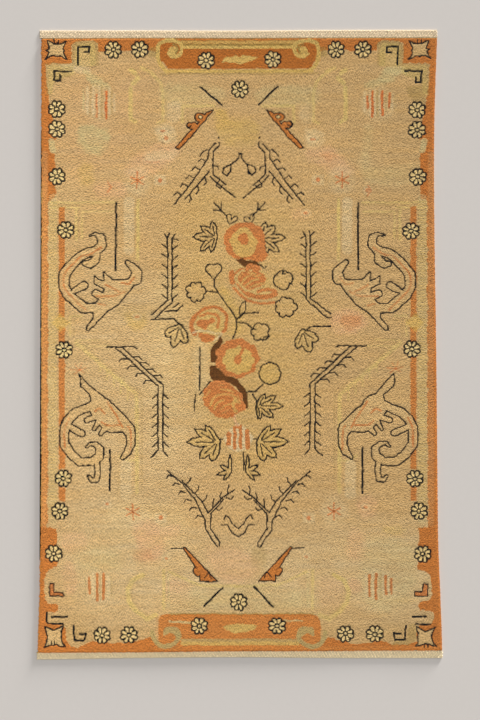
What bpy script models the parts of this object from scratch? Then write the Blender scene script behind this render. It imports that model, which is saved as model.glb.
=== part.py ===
"""Khotan rug: a hand-knotted wool rug with flat-woven ends, laid flat.

The whole rug is woven in one piece on one set of warps, so it is one solid. Its
knotted body is thick, with a rounded pile shoulder all round, and steps down to a
thin flat-woven band at each end. +X runs across the rug, +Y along it towards the
far end, +Z out of the pile. The origin is under the middle of its bounding box.
"""

import math
from collections import namedtuple

import bmesh
import bpy

# Driving dimensions, in metres
RUG_WIDTH = 1.220
RUG_LENGTH = 1.940
BODY_THICKNESS = 0.009
END_THICKNESS = 0.004
NEAR_END_LENGTH = 0.0195
FAR_END_LENGTH = 0.0235

# Edge shape of the cut: height reached at each distance in from an edge
Shoulder = namedtuple("Shoulder", "inset height_share")
BODY_SHOULDER = (
    Shoulder(0.0000, 0.50),
    Shoulder(0.0012, 0.78),
    Shoulder(0.0032, 0.94),
    Shoulder(0.0070, 1.00),
)
END_SHOULDER = (
    Shoulder(0.0000, 0.55),
    Shoulder(0.0010, 1.00),
)
STEP_RUN = 0.0006

# Sides of the knotted body: how far each one stands out from half the rug's width
# at a share of the body's length from the near end. The near end is the wider one.
Side = namedtuple("Side", "share left right")
SIDES = (
    Side(0.000, 0.0125, 0.0160),
    Side(0.084, 0.0070, 0.0110),
    Side(0.180, 0.0042, 0.0038),
    Side(0.330, 0.0020, 0.0008),
    Side(0.520, 0.0020, -0.0030),
    Side(0.720, 0.0014, -0.0085),
    Side(0.865, 0.0014, -0.0080),
    Side(0.962, 0.0012, -0.0025),
    Side(1.000, 0.0008, 0.0005),
)

# Ends: how far the outer edge and the pile's last row stray from straight lines,
# at a share of the width from the left
End = namedtuple("End", "share near_edge near_step far_step far_edge")
ENDS = (
    End(0.00, -0.0040, -0.0030, -0.0008, -0.0010),
    End(0.25, 0.0008, -0.0010, 0.0002, -0.0008),
    End(0.50, 0.0030, 0.0020, 0.0002, -0.0014),
    End(0.75, 0.0006, 0.0026, 0.0008, 0.0004),
    End(1.00, 0.0006, 0.0042, 0.0014, 0.0008),
)

# How far the flat-woven bands stand out past the body's sides
Overhang = namedtuple("Overhang", "left right")
NEAR_OVERHANG = Overhang(0.0035, 0.0000)
FAR_OVERHANG = Overhang(0.0060, -0.0015)

# Surface unevenness of a hand-knotted rug lying flat
Wave = namedtuple("Wave", "height across along phase")
WAVES = (
    Wave(0.00035, 2.3, 1.7, 0.4),
    Wave(0.00025, 4.1, -3.3, 1.9),
    Wave(0.00018, -1.2, 7.4, 3.0),
)
FLATTEST_WAVE_SHARE = 0.35

BODY_COLUMNS = 22
BODY_ROWS = 36
WOOL_COLOUR = (0.60, 0.40, 0.19, 1.0)
WOOL_ROUGHNESS = 0.95


def smooth_value(table, share, column):
    """A column of a table at a share, on a smooth curve through its rows."""
    last = len(table) - 1
    span = max(i for i in range(last) if table[i].share <= share or i == 0)
    rows = [table[min(max(span + step, 0), last)] for step in (-1, 0, 1, 2)]
    before, start, end, after = (getattr(row, column) for row in rows)
    t = (share - rows[1].share) / (rows[2].share - rows[1].share)
    start_slope = (end - before) / 2
    end_slope = (after - start) / 2
    return (
        (2 * t**3 - 3 * t**2 + 1) * start
        + (t**3 - 2 * t**2 + t) * start_slope
        + (3 * t**2 - 2 * t**3) * end
        + (t**3 - t**2) * end_slope
    )


def edge_stations(shoulder, count):
    """(share, inset, height share) from one edge to the other, shoulder to shoulder."""
    low = [(0.0, step.inset, step.height_share) for step in shoulder]
    middle = [(i / count, 0.0, 1.0) for i in range(1, count)]
    high = [(1.0, -inset, height) for _, inset, height in reversed(low)]
    return low + middle + high


def along_stations():
    """(zone, share, inset, height share) for each row, from the near edge to the far.

    A zone is the near band, the body or the far band.
    """
    near = [("near", 0.0, step.inset, step.height_share) for step in END_SHOULDER]
    near += [("near", 0.5, 0.0, 1.0), ("near", 1.0, -STEP_RUN, 1.0)]
    body = [("body", *station) for station in edge_stations(BODY_SHOULDER, BODY_ROWS)]
    far = [("far", 1.0 - share, -inset, height) for _, share, inset, height in near]
    return near + body + far[::-1]


def row_ends(zone, share_across):
    """Where a zone starts and stops along the rug, at a share of the width."""
    half = RUG_LENGTH / 2
    near_edge = -half + smooth_value(ENDS, share_across, "near_edge")
    near_step = -half + NEAR_END_LENGTH + smooth_value(ENDS, share_across, "near_step")
    far_step = half - FAR_END_LENGTH + smooth_value(ENDS, share_across, "far_step")
    far_edge = half + smooth_value(ENDS, share_across, "far_edge")
    return {
        "near": (near_edge, near_step),
        "body": (near_step, far_step),
        "far": (far_step, far_edge),
    }[zone]


def side_places(zone, share_along):
    """Where the left and right sides are, at a share of a zone's length."""
    body_share = {"near": 0.0, "body": share_along, "far": 1.0}[zone]
    overhang = {"near": NEAR_OVERHANG, "far": FAR_OVERHANG}.get(zone, Overhang(0, 0))
    left = smooth_value(SIDES, body_share, "left") + overhang.left
    right = smooth_value(SIDES, body_share, "right") + overhang.right
    return -RUG_WIDTH / 2 - left, RUG_WIDTH / 2 + right


def unevenness(x, y):
    """Height that the waves add at a place on the rug."""
    return sum(
        wave.height * math.sin(wave.across * x * math.pi + wave.along * y * math.pi + wave.phase)
        for wave in WAVES
    )


def surface_point(across, along):
    """The upper surface's point at one station across and one along."""
    share_x, inset_x, height_x = across
    zone, share_y, inset_y, height_y = along
    left, right = side_places(zone, share_y)
    x = left + (right - left) * share_x + inset_x
    start, stop = row_ends(zone, share_x)
    y = start + (stop - start) * share_y + inset_y
    if zone == "body":
        thickness = BODY_THICKNESS
        wave_share = 1.0
    else:
        thickness = END_THICKNESS
        wave_share = FLATTEST_WAVE_SHARE
    height = thickness * min(height_x, height_y) + unevenness(x, y) * wave_share * height_x
    return x, y, height


def wool():
    """Sun-faded camel wool, as a plain Principled material."""
    material = bpy.data.materials.new("camel_wool")
    material.use_nodes = True
    shader = material.node_tree.nodes["Principled BSDF"]
    shader.inputs["Base Color"].default_value = WOOL_COLOUR
    shader.inputs["Roughness"].default_value = WOOL_ROUGHNESS
    shader.inputs["Metallic"].default_value = 0.0
    return material


def woven_rug(collection):
    """The rug: a grid laid on the uneven upper surface, extruded down to a flat back."""
    across = edge_stations(BODY_SHOULDER, BODY_COLUMNS)
    along = along_stations()
    shape = bmesh.new()
    bmesh.ops.create_grid(
        shape, x_segments=len(across) - 1, y_segments=len(along) - 1, size=0.5
    )
    for vertex in shape.verts:
        column = round((vertex.co.x + 0.5) * (len(across) - 1))
        row = round((vertex.co.y + 0.5) * (len(along) - 1))
        vertex.co = surface_point(across[column], along[row])
    extruded = bmesh.ops.extrude_face_region(shape, geom=shape.faces[:])["geom"]
    for element in extruded:
        if isinstance(element, bmesh.types.BMVert):
            element.co.z = 0.0
    bmesh.ops.recalc_face_normals(shape, faces=shape.faces)
    for axis in range(2):
        places = [vertex.co[axis] for vertex in shape.verts]
        middle = (min(places) + max(places)) / 2
        for vertex in shape.verts:
            vertex.co[axis] -= middle
    mesh = bpy.data.meshes.new("rug_body")
    shape.to_mesh(mesh)
    shape.free()
    mesh.shade_smooth()
    mesh.set_sharp_from_angle(angle=math.radians(40))
    rug = bpy.data.objects.new("rug_body", mesh)
    rug.data.materials.append(wool())
    collection.objects.link(rug)
    return rug


def main():
    """Clears the scene and builds the rug in a collection of its own."""
    for old in list(bpy.data.objects):
        bpy.data.objects.remove(old)
    collection = bpy.data.collections.new("khotan_rug")
    bpy.context.scene.collection.children.link(collection)
    woven_rug(collection)


main()
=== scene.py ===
"""Khotan rug: a hand-knotted wool rug with flat-woven ends, laid flat on a pale floor.

The knots are charted one by one in dyed wool, tied as three stretches of cut pile on
one thin foundation, and closed at each end by a band of slanted flat weave. Lengths
are in metres. The pattern is drawn in knots from the rug's middle: +x runs across the
rug and +y along it towards the far end.
"""

import logging
import math
from dataclasses import dataclass, field, replace
from enum import Enum
from typing import Iterable, NamedTuple, Sequence

import bpy
import numpy as np
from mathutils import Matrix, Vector
from mathutils.bvhtree import BVHTree


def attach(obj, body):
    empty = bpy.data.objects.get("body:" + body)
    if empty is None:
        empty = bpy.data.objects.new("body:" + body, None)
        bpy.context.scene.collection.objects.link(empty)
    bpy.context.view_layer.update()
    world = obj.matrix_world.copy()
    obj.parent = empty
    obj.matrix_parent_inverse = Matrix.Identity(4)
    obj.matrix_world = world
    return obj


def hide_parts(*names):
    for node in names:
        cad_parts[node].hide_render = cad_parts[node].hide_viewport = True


log = logging.getLogger("khotan_rug")

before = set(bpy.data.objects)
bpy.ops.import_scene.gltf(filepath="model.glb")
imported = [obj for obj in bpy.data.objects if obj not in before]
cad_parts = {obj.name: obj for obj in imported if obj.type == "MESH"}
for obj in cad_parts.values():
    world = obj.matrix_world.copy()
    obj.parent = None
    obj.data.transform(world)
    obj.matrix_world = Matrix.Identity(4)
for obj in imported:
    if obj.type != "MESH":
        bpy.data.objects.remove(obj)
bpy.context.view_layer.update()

KNOT = 0.003085
KNOT_COLUMNS = 396
KNOT_ROWS = 614
RUG_WIDTH = 1.22
RUG_LENGTH = 1.94

Place = tuple[float, float]
Path = Sequence[Place]
Colour = tuple[float, float, float]


class Wool(Enum):
    """The rug's dyed yarns, as seen faded: display red, green and blue, 0 to 255."""

    INK = (15, 13, 9)
    WALNUT = (94, 56, 18)
    RUST = (186, 112, 48)
    MADDER = (172, 100, 36)
    EMBER = (208, 142, 76)
    ROSE = (188, 115, 59)
    CORAL = (196, 106, 50)
    CAMEL = (193, 156, 102)
    SAND = (199, 163, 108)
    STRAW = (199, 164, 90)
    YELLOW = (200, 163, 80)
    OLIVE = (150, 124, 62)
    MOSS = (172, 148, 92)
    SAGE = (194, 173, 118)
    MAIZE = (208, 180, 104)
    SHELL = (222, 190, 126)
    PEARL = (208, 182, 134)
    BLUSH = (208, 160, 114)
    UNDYED = (232, 208, 168)


def linear(colour: Sequence[float]) -> Colour:
    """Turns a display colour, 0 to 255, into linear light.

    Args:
        colour: Red, green and blue, 0 to 255.

    Returns:
        Red, green and blue in linear light, 0 to 1.
    """
    shares = (part / 255 for part in colour)
    return tuple(s / 12.92 if s <= 0.04045 else ((s + 0.055) / 1.055) ** 2.4 for s in shares)


def spline(points: Path, closed: bool = False, steps: int = 6) -> list[Place]:
    """Rounds a path with a curve through all its points.

    Args:
        points: The points that the curve passes.
        closed: Whether the last point joins the first.
        steps: Short straight pieces for each span.

    Returns:
        The curve's points.
    """
    count = len(points)
    spans = count if closed else count - 1
    curve: list[Place] = []
    for span in range(spans):
        picks = [span - 1, span, span + 1, span + 2]
        if closed:
            picks = [i % count for i in picks]
        else:
            picks = [min(max(i, 0), count - 1) for i in picks]
        a, b, c, d = (np.array(points[i], float) for i in picks)
        for step in range(steps):
            t = step / steps
            place = b + (c - a) * t / 2 + (a - 2.5 * b + 2 * c - d / 2) * t**2
            place = place + (1.5 * b - a / 2 - 1.5 * c + d / 2) * t**3
            curve.append((float(place[0]), float(place[1])))
    if not closed:
        curve.append((float(points[-1][0]), float(points[-1][1])))
    return curve


def arc(x: float, y: float, across: float, along: float, start: float, stop: float) -> list[Place]:
    """Part of an oval.

    Args:
        x: The oval's middle.
        y: The oval's middle.
        across: Half its width.
        along: Half its height.
        start: The first angle, in degrees from +x, anticlockwise.
        stop: The last angle, in degrees.

    Returns:
        Points along the arc.
    """
    count = max(6, int(abs(stop - start) / 15))
    angles = [math.radians(start + (stop - start) * i / count) for i in range(count + 1)]
    return [(x + across * math.cos(a), y + along * math.sin(a)) for a in angles]


def scalloped(x: float, y: float, across: float, along: float, depth: float,
              lobes: int) -> list[Place]:
    """A closed oval with scallops round its edge.

    Args:
        x: The oval's middle.
        y: The oval's middle.
        across: Half its width.
        along: Half its height.
        depth: How far the scallops swell out and in.
        lobes: How many there are.

    Returns:
        Points round the edge.
    """
    edge = []
    for angle in (math.radians(degrees) for degrees in range(0, 360, 5)):
        swell = depth * math.cos(lobes * angle)
        edge.append((x + (across + swell) * math.cos(angle), y + (along + swell) * math.sin(angle)))
    return edge


def segment_distance(x: np.ndarray, y: np.ndarray, a: Place,
                     b: Place) -> tuple[np.ndarray, np.ndarray]:
    """Distance of many places from one straight piece of a path.

    Args:
        x: The places' x.
        y: The places' y.
        a: Where the piece starts.
        b: Where it ends.

    Returns:
        The distances, and how far along the piece each nearest point is, 0 to 1.
    """
    dx, dy = b[0] - a[0], b[1] - a[1]
    reach = max(dx * dx + dy * dy, 1e-9)
    share = np.clip(((x - a[0]) * dx + (y - a[1]) * dy) / reach, 0, 1)
    return np.hypot(x - a[0] - share * dx, y - a[1] - share * dy), share


def path_distance(x: np.ndarray, y: np.ndarray, points: Path, closed: bool = False) -> np.ndarray:
    """Distance of many places from a path.

    Args:
        x: The places' x.
        y: The places' y.
        points: The path.
        closed: Whether its last point joins the first.

    Returns:
        The distances.
    """
    ends = list(zip(points[:-1], points[1:]))
    if closed:
        ends.append((points[-1], points[0]))
    nearest = np.full(x.shape, 1e6)
    for a, b in ends:
        np.minimum(nearest, segment_distance(x, y, a, b)[0], out=nearest)
    return nearest


def signed_distance(x: np.ndarray, y: np.ndarray, points: Path) -> np.ndarray:
    """Distance of many places from a closed shape's edge, negative inside it.

    Args:
        x: The places' x.
        y: The places' y.
        points: The shape's corners.

    Returns:
        The signed distances.
    """
    inside = np.zeros(x.shape, bool)
    for (ax, ay), (bx, by) in zip(points, list(points[1:]) + [points[0]]):
        if ay != by:
            crosses = (ay > y) != (by > y)
            inside ^= crosses & (x < (bx - ax) * (y - ay) / (by - ay) + ax)
    distance = path_distance(x, y, points, closed=True)
    return np.where(inside, -distance, distance)


def ease(share: np.ndarray) -> np.ndarray:
    """Eases shares of 0 to 1 in and out."""
    return share * share * (3 - 2 * share)


def blend(grid: np.ndarray, v: np.ndarray, u: np.ndarray, eased: bool = False) -> np.ndarray:
    """Reads a coarse grid of values between its points.

    Args:
        grid: Values by row and column.
        v: Places along the grid, in its steps.
        u: Places across the grid, in its steps.
        eased: Whether the values ease in and out of each point.

    Returns:
        The blended values.
    """
    j, i = v.astype(int), u.astype(int)
    fv, fu = v - j, u - i
    if eased:
        fv, fu = ease(fv), ease(fu)
    low = grid[j, i] * (1 - fu) + grid[j, i + 1] * fu
    high = grid[j + 1, i] * (1 - fu) + grid[j + 1, i + 1] * fu
    return low * (1 - fv) + high * fv


def smooth_noise(rows: int, columns: int, cell: tuple[float, float], seed: int) -> np.ndarray:
    """Soft seeded noise over the chart.

    Args:
        rows: Rows of the chart.
        columns: Columns of the chart.
        cell: The noise's grain in knots, along and across.
        seed: The draw.

    Returns:
        Values of about -1 to 1.
    """
    draw = np.random.default_rng(seed)
    tall, wide = int(rows / cell[0]) + 3, int(columns / cell[1]) + 3
    coarse = draw.uniform(-1, 1, (tall, wide))
    v = np.arange(rows) / cell[0]
    u = np.arange(columns) / cell[1]
    return blend(coarse, v[:, None], u[None, :], eased=True)


@dataclass
class RugForm:
    """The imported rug's own outline and surface, which the knots and bands are laid on.

    The body's sides are sampled between insets that clear the bands, and its ends up to a
    reach that clears the corners. The pile's height is sampled inside its shoulder.
    """

    thin: float = 0.0001
    pile_level: float = 0.0065
    stations: int = 61
    end_insets: tuple[float, float] = (0.03, 0.035)
    side_reach: float = 0.598
    left_reach: float = 0.0014
    right_draw: float = 0.0006
    level_across: tuple[float, float, int] = (-0.590, 0.590, 41)
    level_along: tuple[float, float, int] = (-0.935, 0.930, 61)
    tree: BVHTree = field(init=False)

    def __post_init__(self) -> None:
        """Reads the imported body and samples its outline."""
        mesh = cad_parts["rug_body"].data
        corners = [tuple(v.co) for v in mesh.vertices]
        self.tree = BVHTree.FromPolygons(corners, [tuple(p.vertices) for p in mesh.polygons])
        xs = [c[0] for c in corners]
        ys = [c[1] for c in corners]
        self.low = (min(xs), min(ys))
        self.high = (max(xs), max(ys))
        near_inset, far_inset = self.end_insets
        self.along_stations = np.linspace(self.low[1] + near_inset, self.high[1] - far_inset, self.stations)
        self.across_stations = np.linspace(-self.side_reach, self.side_reach, self.stations)
        self.left = self.outline((-1, 0), self.thin)
        self.right = self.outline((1, 0), self.thin)
        self.near_pile = self.outline((0, -1), self.pile_level)
        self.far_pile = self.outline((0, 1), self.pile_level)
        self.near_edge = self.outline((0, -1), self.thin)
        self.far_edge = self.outline((0, 1), self.thin)

    def height(self, x: float, y: float) -> float:
        """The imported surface's height over a place, or 0 beside the rug."""
        hit = self.tree.ray_cast(Vector((x, y, 0.1)), Vector((0, 0, -1)))[0]
        return hit.z if hit else 0.0

    def edge(self, start: Place, way: Place, level: float) -> float:
        """Finds where the surface drops below a level.

        Args:
            start: A place on the rug.
            way: The direction to look in.
            level: The height that counts as the drop.

        Returns:
            The place's x or y, whichever the direction changes.
        """
        near, far = 0.0, 1.2
        for _ in range(18):
            middle = (near + far) / 2
            if self.height(start[0] + way[0] * middle, start[1] + way[1] * middle) > level:
                near = middle
            else:
                far = middle
        return (way[0] + way[1]) * near

    def outline(self, way: Place, level: float) -> np.ndarray:
        """Where the surface drops below a level in one direction, from each station.

        Args:
            way: The direction to look in: across for the sides, along for the ends.
            level: The height that counts as the drop.

        Returns:
            The edge's x or y at each station.
        """
        starts = [(0, y) for y in self.along_stations] if way[0] else [(x, 0) for x in self.across_stations]
        return np.array([self.edge(start, way, level) for start in starts])

    def sides(self, y: np.ndarray) -> tuple[np.ndarray, np.ndarray]:
        """Left and right edges of the body at places along it."""
        return np.interp(y, self.along_stations, self.left), np.interp(y, self.along_stations, self.right)

    def ends(self, x: np.ndarray, level: str) -> tuple[np.ndarray, np.ndarray]:
        """Near and far lines at places across, of the pile or of the rug's edge.

        Args:
            x: Places across the rug.
            level: "pile" or "edge".

        Returns:
            The near line's y and the far line's y.
        """
        near = self.near_pile if level == "pile" else self.near_edge
        far = self.far_pile if level == "pile" else self.far_edge
        return np.interp(x, self.across_stations, near), np.interp(x, self.across_stations, far)

    def pile_place(self, u: np.ndarray, v: np.ndarray) -> tuple[np.ndarray, np.ndarray]:
        """Where shares across and along the pile come to lie.

        Args:
            u: Share from the left side.
            v: Share from the near end.

        Returns:
            The places' x and y.
        """
        across = (u - 0.5) * RUG_WIDTH
        near, far = self.ends(across, "pile")
        y = near + (far - near) * v
        left, right = self.sides(y)
        left, right = left - self.left_reach, right - self.right_draw
        return left + (right - left) * u, y

    def pile_height(self, x: np.ndarray, y: np.ndarray) -> np.ndarray:
        """Height of the clipped pile, without its shoulder, from a coarse sampling.

        Args:
            x: Places' x on a grid.
            y: Places' y on the same grid.

        Returns:
            Heights.
        """
        inner_x, inner_y = np.linspace(*self.level_across), np.linspace(*self.level_along)
        samples = np.array([[self.height(a, b) for a in inner_x] for b in inner_y])
        across, along = len(inner_x) - 1, len(inner_y) - 1
        u = np.clip((x - inner_x[0]) / (inner_x[-1] - inner_x[0]) * across, 0, across - 0.001)
        v = np.clip((y - inner_y[0]) / (inner_y[-1] - inner_y[0]) * along, 0, along - 0.001)
        return blend(samples, v, u)


@dataclass
class KnotChart:
    """The rug's knots: where each one is tied, and the wool that it is tied in.

    Depths say how strongly the light of a knot's wool varies. speck_along and light_along
    give the specks' strength and the light at places along the rug. Rows and columns at the
    edges get painted light and shade of their own, from the edge inwards: the near rows and
    the left columns are painted lighter, the right column darker, and the last row is a dark
    olive line, partly painted shade at the pile's end and partly dark weft.
    """

    form: RugForm
    rows: int = KNOT_ROWS
    columns: int = KNOT_COLUMNS
    sharpness: float = 1.8
    unsteadiness: float = 0.45
    jaggedness: float = 0.38
    shift: Place = (-0.4, -0.75)
    streak_depth: float = 0.085
    cloud_depth: float = 0.030
    speck_depth: float = 0.26
    rightward_darkening: float = 0.105
    speck_along: tuple[Place, ...] = ((-220, 0.84), (-120, 1.05), (120, 1.05), (220, 0.92))
    light_along: tuple[Place, ...] = ((170, 1.0), (240, 0.965), (285, 0.96), (305, 0.90))
    near_rows_painted_light: tuple[float, ...] = (1.45, 1.30, 1.10)
    left_columns_painted_light: tuple[float, ...] = (1.95, 1.35, 1.06)
    right_column_painted_shade: float = 0.85
    far_row_painted_shade_and_weft: float = 0.34

    def __post_init__(self) -> None:
        """Lays the knots out and ties them all in the ground's camel wool."""
        u, v = np.meshgrid(
            (np.arange(self.columns) + 0.5) / self.columns,
            (np.arange(self.rows) + 0.5) / self.rows,
        )
        x, y = self.form.pile_place(u, v)
        size = (self.rows, self.columns)
        self.true_x = x / KNOT + self.shift[0]
        self.true_y = y / KNOT + self.shift[1]
        self.x = self.true_x + self.unsteadiness * smooth_noise(*size, (7, 9), 11)
        self.y = self.true_y + self.unsteadiness * smooth_noise(*size, (8, 6), 12)
        self.x += self.jaggedness * smooth_noise(*size, (2.6, 2.2), 15)
        self.y += self.jaggedness * smooth_noise(*size, (2.2, 2.6), 16)
        self.mottle = 0.6 * smooth_noise(*size, (3, 9), 13) + 0.4 * smooth_noise(*size, (17, 23), 14)
        self.stray = smooth_noise(*size, (2.2, 3.0), 17) + 0.5 * smooth_noise(*size, (6, 6), 18)
        self.wool = np.empty((self.rows, self.columns, 3))
        self.wool[:] = linear(Wool.CAMEL.value)
        self.dark = np.zeros(size)

    def window(self, points: Iterable[Place], margin: float) -> tuple[slice, slice]:
        """The rows and columns that a motif may touch.

        Args:
            points: The motif's corners.
            margin: How far it reaches past them, in knots.

        Returns:
            The slices of rows and of columns.
        """
        xs, ys = zip(*points)
        spare = margin + 9
        middle_row, middle_column = self.rows // 2, self.columns // 2
        columns = np.searchsorted(self.true_x[middle_row], (min(xs) - spare, max(xs) + spare))
        rows = np.searchsorted(self.true_y[:, middle_column], (min(ys) - spare, max(ys) + spare))
        return slice(*rows), slice(*columns)

    def tie(self, window: tuple[slice, slice], cover: np.ndarray, wool: Wool, fade: float = 0.0) -> None:
        """Ties wool into a window's knots.

        Args:
            window: The rows and columns.
            cover: How much of each knot is in the wool, 0 to 1.
            wool: The yarn.
            fade: How unevenly the wool has worn away, 0 to 1.
        """
        if fade:
            cover = cover * np.clip(1 - fade + fade * self.mottle[window] * 1.8, 0, 1)
        part = self.wool[window]
        part += cover[..., None] * (np.array(linear(wool.value)) - part)
        if wool in (Wool.INK, Wool.WALNUT):
            self.dark[window] = np.maximum(self.dark[window], cover)

    def coverage(self, distance: np.ndarray, feather: float = 0.0) -> np.ndarray:
        """How much of each knot lies within an edge that is this far away.

        Args:
            distance: Distance outside the edge, in knots, negative inside it.
            feather: Width of a faded edge, or 0 for a knotted one.

        Returns:
            Shares of 0 to 1.
        """
        if feather:
            share = np.clip(0.5 - distance / feather, 0, 1)
            return ease(share)
        return np.clip(0.5 - distance * self.sharpness, 0, 1)

    def age(self) -> None:
        """Gives the wool its streaks, uneven dye and wear, row by row and knot by knot, and paints light and
        shade on its edge rows and columns.
        """
        size = (self.rows, self.columns)
        draw = np.random.default_rng(21)
        streak = 0.6 * smooth_noise(*size, (1.9, 26), 22) + 0.4 * smooth_noise(*size, (4, 70), 23)
        cloud = 0.6 * smooth_noise(*size, (38, 44), 24) + 0.4 * smooth_noise(*size, (13, 17), 25)
        grain = draw.normal(0, 1, size)
        grain = (grain - 0.48 * np.roll(grain, 1, 0)) / 1.11
        speck = grain - 0.16 * grain**2 + 0.16
        depth = np.interp(self.true_y, *zip(*self.speck_along))
        share = np.exp(
            self.streak_depth * streak + self.cloud_depth * cloud + self.speck_depth * depth * speck
        )
        # Darker towards the right
        share *= 1.0 - self.rightward_darkening * self.true_x / 190
        share *= np.interp(self.true_y, *zip(*self.light_along))
        warmth = 0.022 * smooth_noise(*size, (5, 30), 26) + 0.008 * draw.normal(0, 1, size)
        self.wool *= share[..., None]
        self.wool[..., 0] *= 1 + warmth
        self.wool[..., 2] *= 1 - 2.2 * warmth
        # Painted light on the near rows, which lie in the pile's own shade
        for row, light in enumerate(self.near_rows_painted_light):
            self.wool[row] *= light
        # Painted light on the left columns, whose edge faces away from the lamps
        for column, light in enumerate(self.left_columns_painted_light):
            self.wool[:, column] *= light
        # Painted shade on the right column, whose edge faces the lamps
        self.wool[:, -1] *= self.right_column_painted_shade
        # The far row: a dark olive line, partly painted shade at the pile's end and partly dark weft
        self.wool[-1] = self.far_row_painted_shade_and_weft * np.array(linear(Wool.OLIVE.value))
        np.clip(self.wool, 0.004, 1, out=self.wool)


class Limb(NamedTuple):
    """One arm of a shape: its course, with its half width at each point."""

    course: Sequence[tuple[float, float, float]]


@dataclass(frozen=True)
class Pen:
    """Draws on the chart in a motif's own coordinates."""

    chart: KnotChart
    x: float = 0.0
    y: float = 0.0
    turn: float = 0.0
    size: float = 1.0
    mirror: bool = False
    stretch: float = 1.0

    def at(self, x: float, y: float, turn: float = 0.0, size: float = 1.0, mirror: bool = False,
           stretch: float = 1.0) -> "Pen":
        """A pen for a motif of its own, placed on this pen's ground."""
        ((px, py),) = self.place([(x, y)])
        flipped = self.mirror != mirror
        turned = self.turn + (-turn if self.mirror else turn)
        return Pen(self.chart, px, py, turned, self.size * size, flipped, stretch)

    def place(self, points: Iterable[Place]) -> list[Place]:
        """Turns the motif's points into the chart's.

        Args:
            points: Points in the motif's coordinates.

        Returns:
            The same points on the chart.
        """
        cosine, sine = math.cos(math.radians(self.turn)), math.sin(math.radians(self.turn))
        side = (-1 if self.mirror else 1) * self.size * self.stretch
        placed = []
        for x, y in points:
            x, y = x * side, y * self.size
            placed.append((self.x + x * cosine - y * sine, self.y + x * sine + y * cosine))
        return placed

    def stroke(self, points: Path, wool: Wool, width: float = 1.35, strength: float = 1.0,
               curved: bool = False, closed: bool = False, fade: float = 0.0, feather: float = 0.0) -> None:
        """Draws a line.

        Args:
            points: Its course.
            wool: The yarn.
            width: Its width in knots.
            strength: How strongly it covers, 0 to 1.
            curved: Whether it is rounded through its points.
            closed: Whether its end joins its start.
            fade: How unevenly it has worn.
            feather: Width of a faded edge.
        """
        course = self.place(spline(points, closed) if curved else points)
        window = self.chart.window(course, width + feather)
        distance = path_distance(self.chart.x[window], self.chart.y[window], course, closed)
        cover = self.chart.coverage(distance - width / 2, feather) * strength
        self.chart.tie(window, cover, wool, fade)

    def patch(self, points: Path, wool: Wool | None, outline: Wool | None = None, width: float = 1.35,
              strength: float = 1.0, curved: bool = False, fade: float = 0.0, feather: float = 0.0,
              ragged: float = 0.0) -> None:
        """Fills a closed shape, and edges it if asked.

        Args:
            points: Its corners.
            wool: The yarn inside, or None to leave the ground.
            outline: The yarn of its edge.
            width: The edge's width in knots.
            strength: How strongly it covers, 0 to 1.
            curved: Whether it is rounded through its corners.
            fade: How unevenly it has worn.
            feather: Width of a faded edge.
            ragged: How far its edge strays, in knots.
        """
        corners = self.place(spline(points, closed=True) if curved else points)
        window = self.chart.window(corners, width + feather)
        distance = signed_distance(self.chart.x[window], self.chart.y[window], corners)
        if ragged:
            distance = distance + ragged * self.chart.stray[window]
        self.fill(window, distance, wool, outline, width, strength, fade, feather)

    def fill(self, window: tuple[slice, slice], distance: np.ndarray, wool: Wool | None,
             outline: Wool | None = None, width: float = 1.35, strength: float = 1.0,
             fade: float = 0.0, feather: float = 0.0) -> None:
        """Fills and edges a shape that is given by its signed distance."""
        if wool:
            cover = self.chart.coverage(distance, feather) * strength
            self.chart.tie(window, cover, wool, fade)
        if outline:
            self.chart.tie(window, self.chart.coverage(np.abs(distance) - width / 2), outline)

    def oval(self, x: float, y: float, across: float, along: float, wool: Wool | None,
             **looks: object) -> None:
        """Fills an oval.

        Args:
            x: Its middle.
            y: Its middle.
            across: Half its width.
            along: Half its height.
            wool: The yarn inside.
            **looks: The same choices as for a patch.
        """
        self.patch(arc(x, y, across, along, 0, 345), wool, **looks)

    def limbs(self, parts: Iterable[Limb], body: Path | None, wool: Wool | None, outline: Wool,
              width: float = 1.35, strength: float = 1.0) -> None:
        """Joins arms and a body into one shape, fills it and edges it.

        Args:
            parts: The arms.
            body: The body's corners, if it has one.
            wool: The yarn inside.
            outline: The yarn of the edge.
            width: The edge's width in knots.
            strength: How strongly the inside covers.
        """
        courses = [self.place([p[:2] for p in part.course]) for part in parts]
        radii = [[p[2] * self.size for p in part.course] for part in parts]
        corners = self.place(body) if body else []
        everything = [p for course in courses for p in course] + corners
        window = self.chart.window(everything, width + 8)
        x, y = self.chart.x[window], self.chart.y[window]
        distance = signed_distance(x, y, corners) if corners else np.full(x.shape, 1e6)
        for course, radius in zip(courses, radii):
            for i in range(len(course) - 1):
                away, share = segment_distance(x, y, course[i], course[i + 1])
                reach = radius[i] + (radius[i + 1] - radius[i]) * share
                np.minimum(distance, away - reach, out=distance)
        self.fill(window, distance, wool, outline, width, strength)


@dataclass(frozen=True)
class Rosette:
    """A round flower of eight edged petals."""

    petals: int = 8
    petal_distance: float = 5.0
    petal_length: float = 2.5
    petal_width: float = 1.18
    rim: float = 1.62
    backing: float = 3.4
    heart: tuple[float, float] = (1.5, 1.1)

    def draw(self, pen: Pen) -> None:
        """Draws the rosette about the pen's place."""
        petals = []
        for i in range(self.petals):
            angle = 2 * math.pi * (i + 0.5) / self.petals
            along = (math.cos(angle), math.sin(angle))
            near = self.petal_distance - self.petal_length + self.petal_width
            far = self.petal_distance + self.petal_length - self.petal_width * 1.1
            petals.append(Limb([
                (along[0] * near, along[1] * near, self.petal_width * 0.72),
                (along[0] * far, along[1] * far, self.petal_width * 1.12),
            ]))
        rims = [Limb([(*p[:2], p[2] + self.rim) for p in petal.course]) for petal in petals]
        pen.limbs(rims, arc(0, 0, self.backing, self.backing, 0, 345), Wool.INK, Wool.INK, 0.3)
        for petal in petals:
            pen.limbs([petal], None, Wool.SHELL, Wool.SHELL, 0.2)
        pen.oval(0, 0, *self.heart, Wool.SHELL)


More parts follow.
